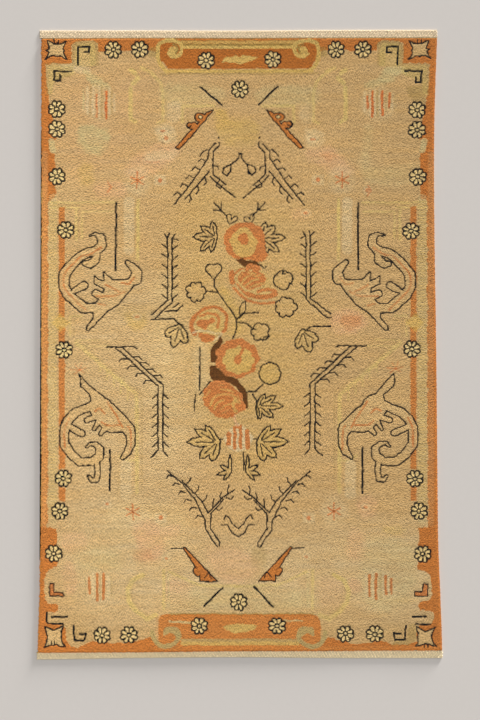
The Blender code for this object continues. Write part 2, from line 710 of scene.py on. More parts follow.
@dataclass(frozen=True)
class CornerStar:
    """A pale four-limbed star with a wavy edge and two short bars between a pair of its limbs."""

    edge: tuple[Place, ...]
    bars: tuple[Place, Place]

    def draw(self, pen: Pen) -> None:
        """Draws the star about the pen's place."""
        pen.patch(self.edge, Wool.SAND, outline=Wool.INK, width=1.5)
        for x, y in self.bars:
            pen.stroke([(x, y), (x * 0.9, y - 3.2)], Wool.INK, 1.3)


FAR_STAR = CornerStar(
    edge=(
        (-9.2, 8.6), (-6.2, 8.0), (-2.6, 5.6), (1.0, 5.6), (2.6, 5.4), (5.4, 6.4), (10.0, 8.6), (7.4, 3.8),
        (6.6, 1.0), (7.6, -1.2), (6.8, -3.6), (8.4, -6.6), (11.0, -10.0), (7.2, -8.6), (3.4, -6.4),
        (0.2, -7.2), (-3.2, -6.2), (-6.4, -6.8), (-11.6, -9.8), (-8.6, -5.8), (-7.2, -2.2),
        (-10.2, -0.6), (-6.6, 1.0), (-8.0, 4.2),
    ),
    bars=((-2.2, 9.6), (1.6, 9.2)),
)

NEAR_LEFT_STAR = CornerStar(
    edge=(
        (-9.2, 10), (-4.6, 7.6), (0, 6), (4.2, 8.6), (8.8, 10.8), (7.8, 4.4), (7.4, -1), (8.6, -5.6),
        (11.2, -10), (6, -9.6), (2.6, -7), (-0.6, -8.4), (-4.6, -8.6), (-10, -10.8), (-8, -6.4),
        (-6.4, -1), (-7.8, 3.6),
    ),
    bars=((-2.4, -4.6), (0.8, -4.6)),
)

NEAR_RIGHT_STAR = CornerStar(
    edge=(
        (-9.2, 10), (-4.6, 7.2), (-0.8, 4.8), (3.4, 6.6), (9.6, 9.6), (6.4, 4.2), (5.2, 0.4), (6, -3.6),
        (7.4, -6.8), (10.8, -9.8), (6, -8.6), (2.4, -7.2), (-2, -7.2), (-5, -8.6), (-11, -9.6),
        (-8.4, -6.6), (-8.2, -1.6), (-7.2, 3.2), (-9.4, 6),
    ),
    bars=((-2.0, -7.4), (1.8, -7.4)),
)


@dataclass(frozen=True)
class KeyHook:
    """An angular hook in dark wool, in a corner."""

    course: tuple[Place, ...]
    width: float = 2.0
    wool: Wool = Wool.INK

    def draw(self, pen: Pen) -> None:
        """Draws the hook."""
        pen.stroke(self.course, self.wool, self.width)


@dataclass(frozen=True)
class Barbs:
    """A row of short hooks that stand off a twig."""

    start: Place
    stop: Place
    count: int
    reach: tuple[Place, ...]

    def draw(self, pen: Pen, width: float) -> None:
        """Draws the barbs at equal steps from start to stop."""
        for i in range(self.count):
            share = i / max(self.count - 1, 1)
            x = self.start[0] + (self.stop[0] - self.start[0]) * share
            y = self.start[1] + (self.stop[1] - self.start[1]) * share
            pen.stroke([(x, y)] + [(x + dx, y + dy) for dx, dy in self.reach], Wool.INK, width)


@dataclass(frozen=True)
class Twig:
    """A thin branch of dark lines with barbs."""

    lines: tuple[tuple[Place, ...], ...]
    barbs: tuple[Barbs, ...] = ()
    width: float = 1.5

    def draw(self, pen: Pen) -> None:
        """Draws the branch and its barbs."""
        for line in self.lines:
            pen.stroke(line, Wool.INK, self.width)
        for row in self.barbs:
            row.draw(pen, self.width * 0.9)


@dataclass(frozen=True)
class CloudScroll:
    """A cloud-like scroll of joined arms, edged in dark wool, with faded accents inside."""

    body: tuple[Place, ...]
    arms: tuple[Limb, ...]
    accents: tuple[tuple[Place, ...], ...]
    lines: tuple[tuple[Place, ...], ...] = ()

    def draw(self, pen: Pen) -> None:
        """Draws the scroll about the pen's place."""
        pen.limbs(self.arms, self.body, Wool.SAND, Wool.INK, 1.45, strength=0.8)
        for accent in self.accents:
            pen.stroke(accent, Wool.ROSE, 2.1, 0.95, curved=True, fade=0.30)
        for line in self.lines:
            pen.stroke(line, Wool.INK, 1.3)


@dataclass(frozen=True)
class LobedLeaf:
    """A leaf of pointed lobes that spread from its foot, with a vein in each."""

    reach: float
    direction: float
    lobes: tuple[tuple[float, float, float], ...] = (
        (0, 1.0, 0.22), (42, 0.86, 0.20), (-42, 0.86, 0.20), (88, 0.66, 0.17), (-88, 0.66, 0.17),
    )
    wool: Wool | None = None
    strength: float = 0.8
    veins: bool = True

    def draw(self, pen: Pen) -> None:
        """Draws the leaf with its foot at the pen's place."""
        arms = []
        veins = []
        for angle, length, girth in self.lobes:
            way = math.radians(self.direction + angle)
            ax, ay = math.cos(way) * self.reach * length, math.sin(way) * self.reach * length
            arms.append(Limb([
                (0, 0, self.reach * 0.12),
                (ax * 0.55, ay * 0.55, self.reach * girth),
                (ax * 0.78, ay * 0.78, self.reach * girth * 0.72),
                (ax, ay, 0.2),
            ]))
            veins.append([(ax * 0.12, ay * 0.12), (ax * 0.72, ay * 0.72)])
        pen.limbs(arms, None, self.wool, Wool.INK, 1.5, self.strength)
        if self.veins:
            for vein in veins:
                pen.stroke(vein, Wool.INK, 1.25)


@dataclass(frozen=True)
class Bloom:
    """A small open flower in outline: rounded petals round a heart, with creases between."""

    petals: tuple[tuple[float, float, float], ...]
    heart: float
    creases: tuple[tuple[Place, ...], ...] = ()
    wool: Wool | None = None

    def draw(self, pen: Pen) -> None:
        """Draws the flower about the pen's place; a petal has an angle, a distance and a radius."""
        arms = []
        for angle, distance, radius in self.petals:
            way = math.radians(angle)
            arms.append(Limb([
                (0, 0, self.heart), (distance * math.cos(way), distance * math.sin(way), radius),
            ]))
        pen.limbs(arms, None, self.wool, Wool.INK, 1.45, strength=0.35)
        for crease in self.creases:
            pen.stroke(crease, Wool.INK, 1.2)


@dataclass(frozen=True)
class Asterisk:
    """A small six-armed star in coral wool on a pale halo."""

    reach: float = 8.0
    halo: Place = (13.5, 15.5)

    def draw(self, pen: Pen) -> None:
        """Draws the halo, then the arms."""
        pen.oval(0, 0, *self.halo, Wool.PEARL, strength=0.36, feather=9.0, fade=0.25)
        for angle in (90, 150, 210, 270, 330, 30):
            way = math.radians(angle)
            reach = self.reach * (1.0 if angle in (90, 270) else 0.9)
            pen.stroke([(0, 0), (reach * math.cos(way), reach * math.sin(way))], Wool.CORAL, 1.35, 0.8)
        pen.oval(0, 0, 1.1, 1.1, Wool.WALNUT, strength=0.5)


class Stripe(NamedTuple):
    """One upright stripe of a bunch: its place across, its foot and top, and its yarn."""

    x: float
    foot: float
    top: float
    width: float
    wool: Wool
    strength: float


@dataclass(frozen=True)
class StripeBunch:
    """A bunch of upright stripes under a faded arch."""

    stripes: tuple[Stripe, ...]
    arch: tuple[float, float, float, float]

    def draw(self, pen: Pen) -> None:
        """Draws the arch, then the stripes."""
        x, y, across, along = self.arch
        pen.oval(x, y, across, along, Wool.PEARL, strength=0.33, feather=6.0, fade=0.3)
        for s in self.stripes:
            pen.stroke([(s.x, s.foot), (s.x, s.top)], s.wool, s.width, s.strength)


class Wash(NamedTuple):
    """A faded area or band of the ground."""

    wool: Wool
    strength: float
    feather: float
    points: tuple[Place, ...]
    width: float = 0.0


@dataclass(frozen=True)
class Ground:
    """The faded ground: its washes and its ghostly fretwork."""

    washes: tuple[Wash, ...]

    def draw(self, pen: Pen) -> None:
        """Lays the washes down in order; one with a width is a band, the others are areas."""
        for wash in self.washes:
            if wash.width:
                pen.stroke(
                    wash.points, wash.wool, wash.width, wash.strength, fade=0.20, feather=wash.feather
                )
            else:
                pen.patch(
                    wash.points, wash.wool, strength=wash.strength, curved=True, fade=0.25,
                    feather=wash.feather, ragged=1.5,
                )


FIELD_WASHES = (
    # The yellower middle, the paler left flank and near field, and the warmer far corner
    Wash(Wool.YELLOW, 0.28, 60, ((-60, 150), (50, 140), (80, 60), (60, -80), (0, -130), (-60, -40))),
    Wash(Wool.SHELL, 0.24, 22, ((-88, 52), (-62, 52), (-60, -100), (-90, -100))),
    Wash(Wool.SHELL, 0.32, 20, ((-124, -160), (-58, -165), (-58, -194), (-124, -196))),
    Wash(Wool.OLIVE, 0.16, 16, ((-184, -272), (-150, -272), (-150, -298), (-180, -296))),
    Wash(Wool.OLIVE, 0.12, 16, ((72, -274), (104, -274), (100, -292), (74, -292))),
    Wash(Wool.OLIVE, 0.12, 16, ((136, -272), (166, -272), (166, -294), (136, -292))),
    Wash(Wool.CAMEL, 0.16, 20, ((10, 205), (66, 205), (66, 105), (10, 105))),
    Wash(Wool.PEARL, 0.34, 60, ((-160, 60), (-90, 70), (-50, 20), (-40, -120), (-90, -190),
                                (-170, -150))),
    Wash(Wool.PEARL, 0.55, 50, ((-170, -176), (0, -196), (190, -180), (180, -270), (0, -262),
                                (-150, -270))),
    Wash(Wool.BLUSH, 0.22, 40, ((-176, 262), (-96, 270), (-92, 226), (-120, 176), (-176, 176))),
    # Far field: pale bars, the blotch over the twigs, and the leaf-green patches
    Wash(Wool.SAGE, 0.55, 7, ((-74, 259), (-22, 257), (-20, 243), (-73, 241))),
    Wash(Wool.SAGE, 0.55, 7, ((74, 257), (22, 256), (20, 241), (73, 239))),
    Wash(Wool.PEARL, 0.50, 5, ((-74, 241), (-60, 241), (-60, 224), (-73, 223))),
    Wash(Wool.PEARL, 0.50, 5, ((60, 238), (73, 238), (73, 222), (62, 222))),
    Wash(Wool.YELLOW, 0.50, 6, ((-25, 234), (-14, 234), (-12, 223), (-22, 222))),
    Wash(Wool.YELLOW, 0.50, 8, ((-22, 222), (14, 224), (18, 204), (4, 198), (-16, 200))),
    Wash(Wool.PEARL, 0.75, 4, ((-179, 281), (-164, 281), (-150, 276), (-150, 271), (-166, 271),
                               (-178, 275))),
    Wash(Wool.SAGE, 0.95, 4, ((-156, 274), (-146, 270), (-134, 262), (-130, 256), (-142, 256),
                              (-152, 264))),
    Wash(Wool.SAGE, 0.90, 4, ((165, 278), (154, 279), (144, 274), (138, 266), (126, 261), (124, 256),
                              (140, 257), (152, 263), (160, 270), (166, 271))),
    Wash(Wool.SAGE, 0.80, 6, ((-163, 213), (-150, 219), (-132, 212), (-131, 204), (-142, 210),
                              (-154, 209), (-152, 200), (-138, 196), (-143, 189), (-156, 195))),
    Wash(Wool.SAGE, 0.60, 10, ((-160, 214), (-134, 214), (-136, 194), (-156, 194))),
    Wash(Wool.YELLOW, 0.45, 7, ((-160, 178), (-149, 180), (-147, 162), (-158, 159))),
    Wash(Wool.SAGE, 0.45, 8, ((125, 214), (133, 214), (133, 180), (178, 178), (178, 162), (125, 164))),
    Wash(Wool.OLIVE, 0.50, 5, ((168, 257), (188, 257), (187, 244), (178, 241), (169, 247))),
    # Far field: blush bands round the coral stars
    Wash(Wool.BLUSH, 0.75, 10, ((-116, 172), (-92, 196), (-64, 200), (-62, 190), (-80, 174), (-102, 164))),
    Wash(Wool.PEARL, 0.60, 7, ((-94, 191), (-66, 194), (-66, 186), (-92, 182))),
    Wash(Wool.BLUSH, 0.65, 7, ((-144, 160), (-118, 162), (-116, 148), (-142, 147))),
    Wash(Wool.BLUSH, 0.75, 10, ((66, 190), (88, 198), (112, 176), (106, 168), (84, 176))),
    Wash(Wool.ROSE, 0.30, 6, ((82, 190), (94, 190), (92, 183), (84, 184))),
    Wash(Wool.BLUSH, 0.45, 8, ((52, 133), (68, 134), (68, 126), (54, 126))),
    Wash(Wool.PEARL, 0.60, 5, ((-86, 218), (-68, 219), (-64, 204), (-80, 204))),
    Wash(Wool.PEARL, 0.60, 5, ((66, 214), (82, 212), (82, 198), (68, 198))),
    # Waist
    Wash(Wool.YELLOW, 0.55, 6, ((-114, 30), (-96, 30), (-94, 20), (-104, 13), (-112, 20))),
    Wash(Wool.OLIVE, 0.22, 7, ((-120, 38), (-90, 38), (-90, 28), (-120, 28))),
    Wash(Wool.BLUSH, 0.80, 7, ((92, 30), (112, 34), (128, 22), (112, 10), (94, 14))),
    Wash(Wool.ROSE, 0.50, 5, ((102, 27), (116, 29), (122, 21), (112, 15), (102, 17))),
    Wash(Wool.PEARL, 0.35, 8, ((-46, 0), (-34, 2), (-32, -20), (-33, -44), (-44, -44))),
    # Near field: blush
    Wash(Wool.BLUSH, 0.80, 9, ((-104, -178), (-80, -182), (-78, -212), (-96, -218), (-104, -200))),
    Wash(Wool.ROSE, 0.28, 6, ((-106, -208), (-90, -206), (-88, -216), (-104, -217))),
    Wash(Wool.BLUSH, 0.60, 8, ((-76, -184), (-62, -182), (-62, -192), (-76, -193))),
    Wash(Wool.BLUSH, 0.55, 7, ((-176, -190), (-156, -190), (-156, -206), (-176, -206))),
    Wash(Wool.BLUSH, 0.55, 6, ((-176, -220), (-166, -222), (-164, -246), (-174, -248))),
    Wash(Wool.OLIVE, 0.16, 8, ((-146, -184), (-124, -184), (-124, -194), (-146, -194))),
    Wash(Wool.SAGE, 0.50, 12, ((-162, -204), (-124, -206), (-122, -226), (-160, -226))),
    Wash(Wool.BLUSH, 0.60, 10, ((-74, -238), (-52, -240), (-52, -258), (-74, -258))),
    Wash(Wool.BLUSH, 0.60, 12, ((-34, -206), (-6, -204), (20, -220), (6, -238), (-20, -236))),
    Wash(Wool.BLUSH, 0.65, 6, ((118, -154), (136, -154), (136, -172), (120, -172))),
    Wash(Wool.BLUSH, 0.55, 9, ((110, -186), (122, -190), (124, -216), (108, -212))),
    Wash(Wool.BLUSH, 0.60, 5, ((109, -236), (121, -237), (121, -248), (110, -248))),
    Wash(Wool.BLUSH, 0.35, 10, ((80, -236), (102, -236), (102, -260), (80, -260))),
    # Near field: pale greens
    Wash(Wool.SAGE, 0.50, 12, ((-60, -246), (60, -246), (66, -264), (-66, -264))),
    Wash(Wool.SAGE, 0.45, 12, ((124, -200), (172, -200), (170, -258), (128, -262))),
    Wash(Wool.OLIVE, 0.42, 6, ((13, -206), (25, -206), (25, -222), (14, -223))),
    Wash(Wool.YELLOW, 0.45, 5, ((144, -184), (164, -184), (162, -190), (146, -189))),
)


def mirrored(washes: Iterable[Wash], shift: float = -3.5) -> tuple[Wash, ...]:
    """Bands that are drawn on both sides of the rug.

    Args:
        washes: The left side's bands.
        shift: How far the right side's stand from a true mirror image.

    Returns:
        Both sides' bands.
    """
    both = []
    for wash in washes:
        both.append(wash)
        both.append(wash._replace(points=tuple((shift - x, y) for x, y in wash.points)))
    return tuple(both)


FRET_BANDS = (
    # Arch and posts of the far field
    Wash(Wool.MAIZE, 0.75, 1.6, ((-109, 256), (-109.2, 225), (-104, 222)), 4.0),
    Wash(Wool.MAIZE, 0.75, 1.6, ((-109, 274), (-105, 271)), 4.6),
    Wash(Wool.MAIZE, 0.75, 1.6, ((-102, 266), (-107, 261)), 4.6),
    Wash(Wool.MAIZE, 0.55, 1.6, ((-98, 276), (-90, 272), (-80, 262), (-77, 252), (-77, 223),
                                 (-82, 221)), 3.4),
    Wash(Wool.OLIVE, 0.35, 1.2, ((-73.5, 252), (-73.5, 222)), 1.4),
    Wash(Wool.MAIZE, 0.60, 1.4, ((-57.5, 222), (-57.5, 238), (-26, 238)), 3.0),
    Wash(Wool.OLIVE, 0.30, 1.2, ((-52, 222), (-52, 233), (-30, 233)), 1.6),
    # Nested square frames beside the far scrolls
    Wash(Wool.MAIZE, 0.62, 1.2, ((-190, 141.5), (-126, 141.5)), 2.2),
    Wash(Wool.OLIVE, 0.30, 1.2, ((-190, 139), (-128, 139)), 1.4),
    Wash(Wool.MAIZE, 0.55, 1.2, ((-190, 136.5), (-160, 136.5)), 2.0),
    Wash(Wool.MAIZE, 0.55, 1.2, ((-163.6, 136), (-163.6, 104)), 2.4),
    Wash(Wool.OLIVE, 0.28, 1.2, ((-161, 134), (-161, 106)), 1.4),
    Wash(Wool.MAIZE, 0.50, 1.2, ((-158, 106), (-158, 132.5), (-127, 132.5)), 2.2),
    Wash(Wool.OLIVE, 0.25, 1.2, ((-154, 129), (-128, 129)), 1.4),
    Wash(Wool.PEARL, 0.60, 2.0, ((-110.8, 142), (-110.8, 94)), 10.5),
    Wash(Wool.MAIZE, 0.80, 1.2, ((-102, 144), (-102, 84)), 3.0),
    Wash(Wool.OLIVE, 0.25, 1.2, ((-104.6, 142), (-104.6, 92)), 1.2),
    # Small nested frames at the waist
    Wash(Wool.MAIZE, 0.50, 1.4, ((-170, 8), (-170, 28), (-158, 28)), 2.2),
    Wash(Wool.OLIVE, 0.30, 1.2, ((-166, 8), (-166, 24), (-158, 24)), 1.6),
    # Hatched corner and long posts of the near field
    Wash(Wool.MAIZE, 0.62, 2.0, ((-164, 1), (-104, -50), (-103, -58), (-103, -148)), 3.8),
    Wash(Wool.OLIVE, 0.30, 1.4, ((-160, 2), (-99, -49), (-98, -60), (-98, -146)), 1.6),
    Wash(Wool.MAIZE, 0.50, 1.2, ((-140, -20), (-140, -28)), 2.0),
    Wash(Wool.MAIZE, 0.50, 1.2, ((-133, -26), (-133, -35)), 2.0),
    Wash(Wool.MAIZE, 0.50, 1.2, ((-126, -32), (-126, -42)), 2.0),
    Wash(Wool.MAIZE, 0.50, 1.2, ((-119, -38), (-119, -50)), 2.0),
    Wash(Wool.MAIZE, 0.50, 1.2, ((-112, -44), (-112, -56)), 2.0),
    Wash(Wool.MAIZE, 0.42, 1.2, ((-164, 4), (-140, 4)), 1.8),
    Wash(Wool.OLIVE, 0.28, 1.2, ((-162, 1), (-134, 1)), 1.4),
    Wash(Wool.MAIZE, 0.42, 1.2, ((-158, -2), (-130, -2)), 1.8),
    Wash(Wool.OLIVE, 0.28, 1.2, ((-154, -5), (-128, -5)), 1.4),
    Wash(Wool.MAIZE, 0.55, 1.6, ((-120, -112), (-112, -117), (-104, -116)), 2.4),
    Wash(Wool.PEARL, 0.60, 2.0, ((-114, -121), (-114, -150)), 11.0),
    Wash(Wool.OLIVE, 0.25, 1.2, ((-121.5, -118), (-121.5, -150)), 1.6),
    # Arches and posts of the near corners
    Wash(Wool.MAIZE, 0.80, 1.6, ((-97.5, -231), (-108, -237), (-112.5, -246), (-111, -257), (-104, -267),
                                  (-93, -275), (-84, -271)), 4.6),
    Wash(Wool.OLIVE, 0.34, 1.2, ((-92, -229), (-104, -234), (-109, -246), (-107, -257), (-100, -266),
                                 (-91, -271)), 1.4),
    Wash(Wool.MAIZE, 0.60, 1.6, ((-76, -226), (-76, -265)), 3.2),
    Wash(Wool.SAGE, 0.60, 1.2, ((-71.5, -228), (-71.5, -262)), 2.0),
    Wash(Wool.MAIZE, 0.65, 1.6, ((-70, -228), (-51, -237), (-40, -241), (1, -242.5)), 2.6),
)


@dataclass(frozen=True)
class Border:
    """The rust frame, its stepped straw ribbons, its corner blocks and its end panels."""

    def draw(self, pen: Pen) -> None:
        """Draws the frame on both sides, then the far and near panels."""
        for side in (pen, pen.at(-4.5, 0, mirror=True)):
            self.long_side(side)
            self.far_corner(side)
        pen.stroke([(-197, 158), (-197, -178)], Wool.EMBER, 8.0, 0.55, feather=2)
        self.near_corner(pen)
        self.near_right_corner(pen)
        self.far_panel(pen)
        self.near_panel(pen)

    def long_side(self, pen: Pen) -> None:
        """Draws one long side: the outer strip, the laddered ribbon and the inner strip."""
        pen.patch([(-210, 250), (-191, 250), (-190, 238), (-186.5, 226), (-184.5, 205), (-190, 203),
                   (-190, 195), (-185, 190), (-184.5, 146), (-192, 143), (-192.5, -183), (-183, -184),
                   (-183, -222), (-210, -222)], Wool.RUST, ragged=0.9)
        pen.stroke([(-195.5, 190), (-195.5, -180)], Wool.SAND, 6.0, 0.22, feather=3)
        pen.stroke([(-189, 203), (-187, 194)], Wool.SAGE, 6.0, 0.7)
        pen.stroke([(-187, 146), (-187, -176)], Wool.SAGE, 8.5, 0.42, fade=0.2)
        for rung in range(106):
            y = 142 - rung * 3.0
            pen.stroke([(-190.5, y), (-183, y)], Wool.YELLOW, 1.3, 0.34)
        for y_top, y_foot in ((137, 27), (17, -125), (-143, -157)):
            pen.patch([(-181, y_top), (-175, y_top), (-175, y_foot), (-181, y_foot)], Wool.RUST,
                      strength=0.90, ragged=0.4)
        pen.patch([(-188, 21), (-180, 31), (-170, 21), (-180, 12)], Wool.YELLOW, strength=0.6, feather=3)

    def far_corner(self, pen: Pen) -> None:
        """Draws the far corner's rust block and the straw ribbons round its hooks."""
        pen.patch([(-210, 320), (-80, 320), (-80, 292), (-100, 294), (-122, 293), (-141.5, 293),
                   (-142, 301.4), (-147, 303.4), (-164.6, 302.8), (-168, 299.6), (-168, 281), (-194, 280),
                   (-194, 270), (-192.6, 256), (-191.5, 248), (-210, 248)], Wool.RUST, ragged=0.7)
        pen.patch([(-168, 278), (-168, 299), (-164, 303), (-147, 303.4), (-142, 301), (-141, 278)],
                  Wool.OLIVE, strength=0.42, ragged=0.6)
        pen.patch([(-164.5, 278), (-164.5, 297), (-161, 300.5), (-147, 300.5), (-144.5, 296), (-144.5, 278)],
                  Wool.MAIZE, strength=0.40)
        pen.patch([(-160, 278), (-160, 294), (-150, 294), (-150, 278)], Wool.SAND, strength=0.5)
        pen.patch([(-194, 281), (-168, 281), (-166, 270), (-186, 262), (-188, 250), (-194, 248)],
                  Wool.OLIVE, strength=0.30, ragged=0.6)
        pen.patch([(-191.5, 278.5), (-166, 278.5), (-166, 270), (-186, 262), (-188, 250), (-191.5, 250)],
                  Wool.MAIZE, strength=0.32)
        pen.patch([(-90, 297), (-80, 297), (-80, 286), (-92, 288)], Wool.OLIVE, strength=0.5, feather=3)

    def near_corner(self, pen: Pen) -> None:
        """Draws the near corner's rust block, with the wavy edge of the near strip."""
        pen.patch([(-215, -220), (-184, -221), (-187, -223.5), (-194, -229), (-195.3, -233), (-195.3, -257),
                   (-193, -259.6), (-184.5, -259.8), (-182.3, -262), (-182.3, -266), (-185, -267.8),
                   (-193, -268.6), (-194.4, -272), (-194.2, -277), (-191, -280), (-177, -281),
                   (-174, -285), (-173.2, -297), (-169, -302), (-162, -303.4), (-156, -301), (-148, -297.6),
                   (-136, -299), (-116, -299), (-100, -296), (-89, -293), (-84, -300), (-60, -304),
                   (-60, -330), (-215, -330)], Wool.RUST, ragged=0.7)

    def near_right_corner(self, pen: Pen) -> None:
        """Draws the near right corner's rust, with its two round bays and the tab between them."""
        pen.patch([(210, -220), (176.5, -221), (177.2, -225.6), (183, -226.4), (188.6, -229), (191.2, -234),
                   (191.6, -250), (190, -256), (180, -257.6), (178.6, -262), (180, -266), (191, -266.6),
                   (193.6, -269), (193.4, -277), (190, -280), (179, -281), (177.4, -286), (176.6, -297),
                   (168, -300.6), (152, -300.6), (140, -297), (128, -299), (112, -300), (104, -297),
                   (88, -293), (82, -300), (60, -304), (60, -330), (210, -330)], Wool.RUST, ragged=0.7)
        pen.patch([(177, -280), (168.8, -280), (168.4, -296), (153, -297), (152, -301), (168, -301.4),
                   (176.6, -297)], Wool.OLIVE, strength=0.42, ragged=0.6)

    def far_panel(self, pen: Pen) -> None:
        """Draws the far end's panel: rust in a scrolled straw ribbon."""
        pen.patch([(-80, 320), (80, 320), (80, 270), (-80, 270)], Wool.MADDER)
        pen.patch([(-86, 270), (86, 270), (80, 282), (-80, 282)], Wool.CAMEL)
        pen.patch([(-77.5, 300), (74, 300), (74, 284), (71.6, 275.2), (-71, 275.2), (-77.8, 283)],
                  Wool.MADDER)
        pen.stroke([(-80, 270.2), (78, 270.2)], Wool.OLIVE, 1.6, 0.5, feather=1)
        pen.stroke([(-74, 272.9), (72.6, 272.9)], Wool.YELLOW, 3.4, 0.75)
        pen.stroke([(-58, 303.4), (57, 303.4)], Wool.OLIVE, 1.0, 0.6)
        pen.stroke([(-58, 301.6), (57, 301.6)], Wool.STRAW, 2.6, 0.75)
        pen.stroke([(-58, 299.2), (57, 299.2)], Wool.OLIVE, 2.0, 0.9)
        pen.stroke([(-58, 296.8), (57, 296.8)], Wool.STRAW, 2.9)
        for side in (pen, pen.at(-3.6, 0, mirror=True)):
            side.stroke([(-73.6, 273), (-81, 282), (-81.4, 298.3), (-75.7, 302.6), (-65.7, 302.9),
                         (-59.3, 299.7), (-58.3, 294), (-60.7, 288.6), (-66.4, 287.1), (-71.1, 290.4)],
                        Wool.STRAW, 3.9, 0.95, curved=True)
            side.oval(-67.2, 292.6, 4.4, 5.0, Wool.STRAW, strength=0.95)
            side.stroke([(-66.4, 299.4), (-62.9, 297.1), (-62.6, 293.3), (-64.3, 290.4)], Wool.OLIVE, 1.9,
                        0.95, curved=True)
        pen.patch([(-18.6, 281.6), (-15.5, 286), (-9, 286.8), (-4.4, 289), (-1, 287.2), (3, 289), (8.6, 289),
                   (12, 286.8), (18, 286), (12, 283), (7, 281.8), (1, 280.4), (-4, 281), (-12, 281.6)],
                  Wool.STRAW, ragged=0.5, strength=0.92)

    def near_panel(self, pen: Pen) -> None:
        """Draws the near end's panel: rust with two olive scrolls."""
        pen.patch([(-81.5, -306), (-81.5, -277), (-79, -272), (-73, -270), (72, -270), (78, -272),
                   (80.5, -277), (80.5, -306)], Wool.RUST)
        pen.patch([(-60, -303), (60, -303), (60, -330), (-60, -330)], Wool.RUST)
        pen.stroke([(-70, -269.6), (74, -269.8)], Wool.OLIVE, 1.6, 0.6)
        pen.patch([(-84, -272), (-84, -306), (200, -306), (200, -302), (84, -302), (80, -272)], Wool.EMBER,
                  strength=0.22)
        pen.stroke([(-58, -296.4), (58, -296.4)], Wool.MOSS, 3.3, 0.80)
        pen.stroke([(-58, -299.6), (58, -299.6)], Wool.STRAW, 3.6, 0.85)
        for side in (pen, pen.at(-2.4, 0, mirror=True)):
            side.stroke([(-88, -288), (-86.6, -293), (-83.4, -299), (-77.1, -302.4), (-70, -301.4),
                         (-62.9, -296.7), (-61, -290.3)], Wool.MOSS, 4.6, 0.9, curved=True)
            side.patch([(-76.4, -292), (-76.4, -286.4), (-73.2, -283.2), (-64.4, -282.8), (-60, -286.6),
                        (-58.8, -293), (-63, -293.4), (-66.4, -291), (-69.6, -288.8), (-72, -290.2)],
                       Wool.MOSS, strength=0.9, curved=True)
        pen.stroke([(-70, -277.4), (-60, -277.6), (-49.4, -278.8)], Wool.SAGE, 2.5, 0.8)
        pen.stroke([(44, -276.6), (62, -276.6)], Wool.SAGE, 1.6, 0.8)
        pen.patch([(-17, -283.5), (-13, -281), (-3, -280), (8, -280.5), (14, -281), (17.7, -281.6),
                   (15, -285.6), (4, -288.6), (-6, -288.8), (-14, -286)],
                  Wool.STRAW, ragged=0.6, strength=0.92)


UPPER_SCROLL = CloudScroll(
    body=(
        (-18, -24), (-4, -23), (3, -14), (5, 0), (28, 0.8), (33, 5), (42, 4), (35, -4), (25.5, -16),
        (18, -25), (7, -32), (-11.5, -51), (-14, -50), (-13.5, -46), (-6.5, -38), (-7, -33), (-18, -33),
    ),
    arms=(
        Limb([(-10.5, 44.6, 0.6), (-4, 46.2, 1.6), (1.5, 42.5, 4.0), (2.2, 35, 4.3), (-4, 29, 4.4),
              (-13, 27, 4.6), (-20, 23, 4.8), (-29, 14.5, 5), (-35.6, 6, 5.2), (-36, -7, 5.2),
              (-31.5, -15, 5.2), (-17, -27.5, 5.4)]),
        Limb([(-3, 26, 3), (-5, 19.5, 4.2), (-10, 15.6, 3.8), (-14.5, 16, 3)]),
        Limb([(-27, -11.5, 2.2), (-16, -5.6, 4.0)]),
        Limb([(6, -18, 4), (-4.5, -13.6, 3.6)]),
        Limb([(9, -7, 4), (-2.5, -2, 3.2), (-5.3, 3.4, 0.6)]),
        Limb([(9, -3, 5), (4.4, 7.4, 0.8)]),
        Limb([(35.5, 1, 6.0), (37, 8, 4.8), (32.5, 13.5, 3.8), (28, 17.4, 2.6)]),
    ),
    accents=(
        ((1, 32.5), (-10, 25.5), (-18, 24), (-27, 16), (-35.2, 6.2), (-35.4, -7), (-24, -21), (-14.5, -30)),
        ((6, -5), (12, -8), (19.5, -11.5)),
        ((-4, -16), (14, -16), (24.5, -11.5)),
        ((21.7, -2.6), (28.4, -4), (34.3, 2.5)),
        ((-1, -24), (6, -25.6)),
    ),
)

LOWER_SCROLL = CloudScroll(
    body=(
        (-21.5, 56), (-12.8, 46.4), (-2.6, 37.8), (10, 29), (23.5, 16.3), (34, 4.3), (34, -6),
        (27, -7.6), (22.7, -2.2), (10, -2.8), (4, 0), (-3, 7), (-8, 14), (-12, 21), (-15, 26),
        (-9.6, 29), (-10.5, 36), (-19.4, 44), (-19.8, 51),
    ),
    arms=(
        Limb([(-12, 22.5, 4), (-24, 17.5, 4.6), (-32, 9.8, 4.7), (-35.5, 2, 4.6), (-35.6, -14, 4.6),
              (-28, -24.6, 4.6), (-20, -31.8, 4.2), (-8, -31.8, 4.0), (-1, -26.6, 4.4), (0, -19, 3.8),
              (-4, -14.4, 2.6), (-10, -13.8, 1.8), (-13.2, -17, 1.2)]),
        Limb([(-5, 12.6, 3), (-13, 9.8, 2.8)]),
        Limb([(-2, 8, 3), (-6.2, 0.4, 1.5)]),
        Limb([(6, 3, 4), (0.4, -4.2, 1.6)]),
        Limb([(30.2, 0, 5.0), (30.8, -14, 4.2), (28, -22, 3.8), (22.4, -28.0, 1.8)]),
        Limb([(-3, -33, 2.8), (-2.3, -43, 2.8), (-3.4, -50, 2.8), (-8, -50.6, 2.3), (-11, -46.6, 1.3)]),
        Limb([(-30, 2.6, 3.2), (-18, -3.4, 3.3)]),
    ),
    accents=(
        ((-31, 11.4), (-35.4, 0), (-35, -17)),
        ((-5, 19), (0, 21.3), (4.5, 16.2)),
        ((7.7, 28), (18, 11.4), (22.7, 2)),
        ((1.4, 8.2), (8.5, 4.3), (18.8, 4.7)),
        ((28.3, 3.5), (30.6, -1), (30.8, -20)),
    ),
)

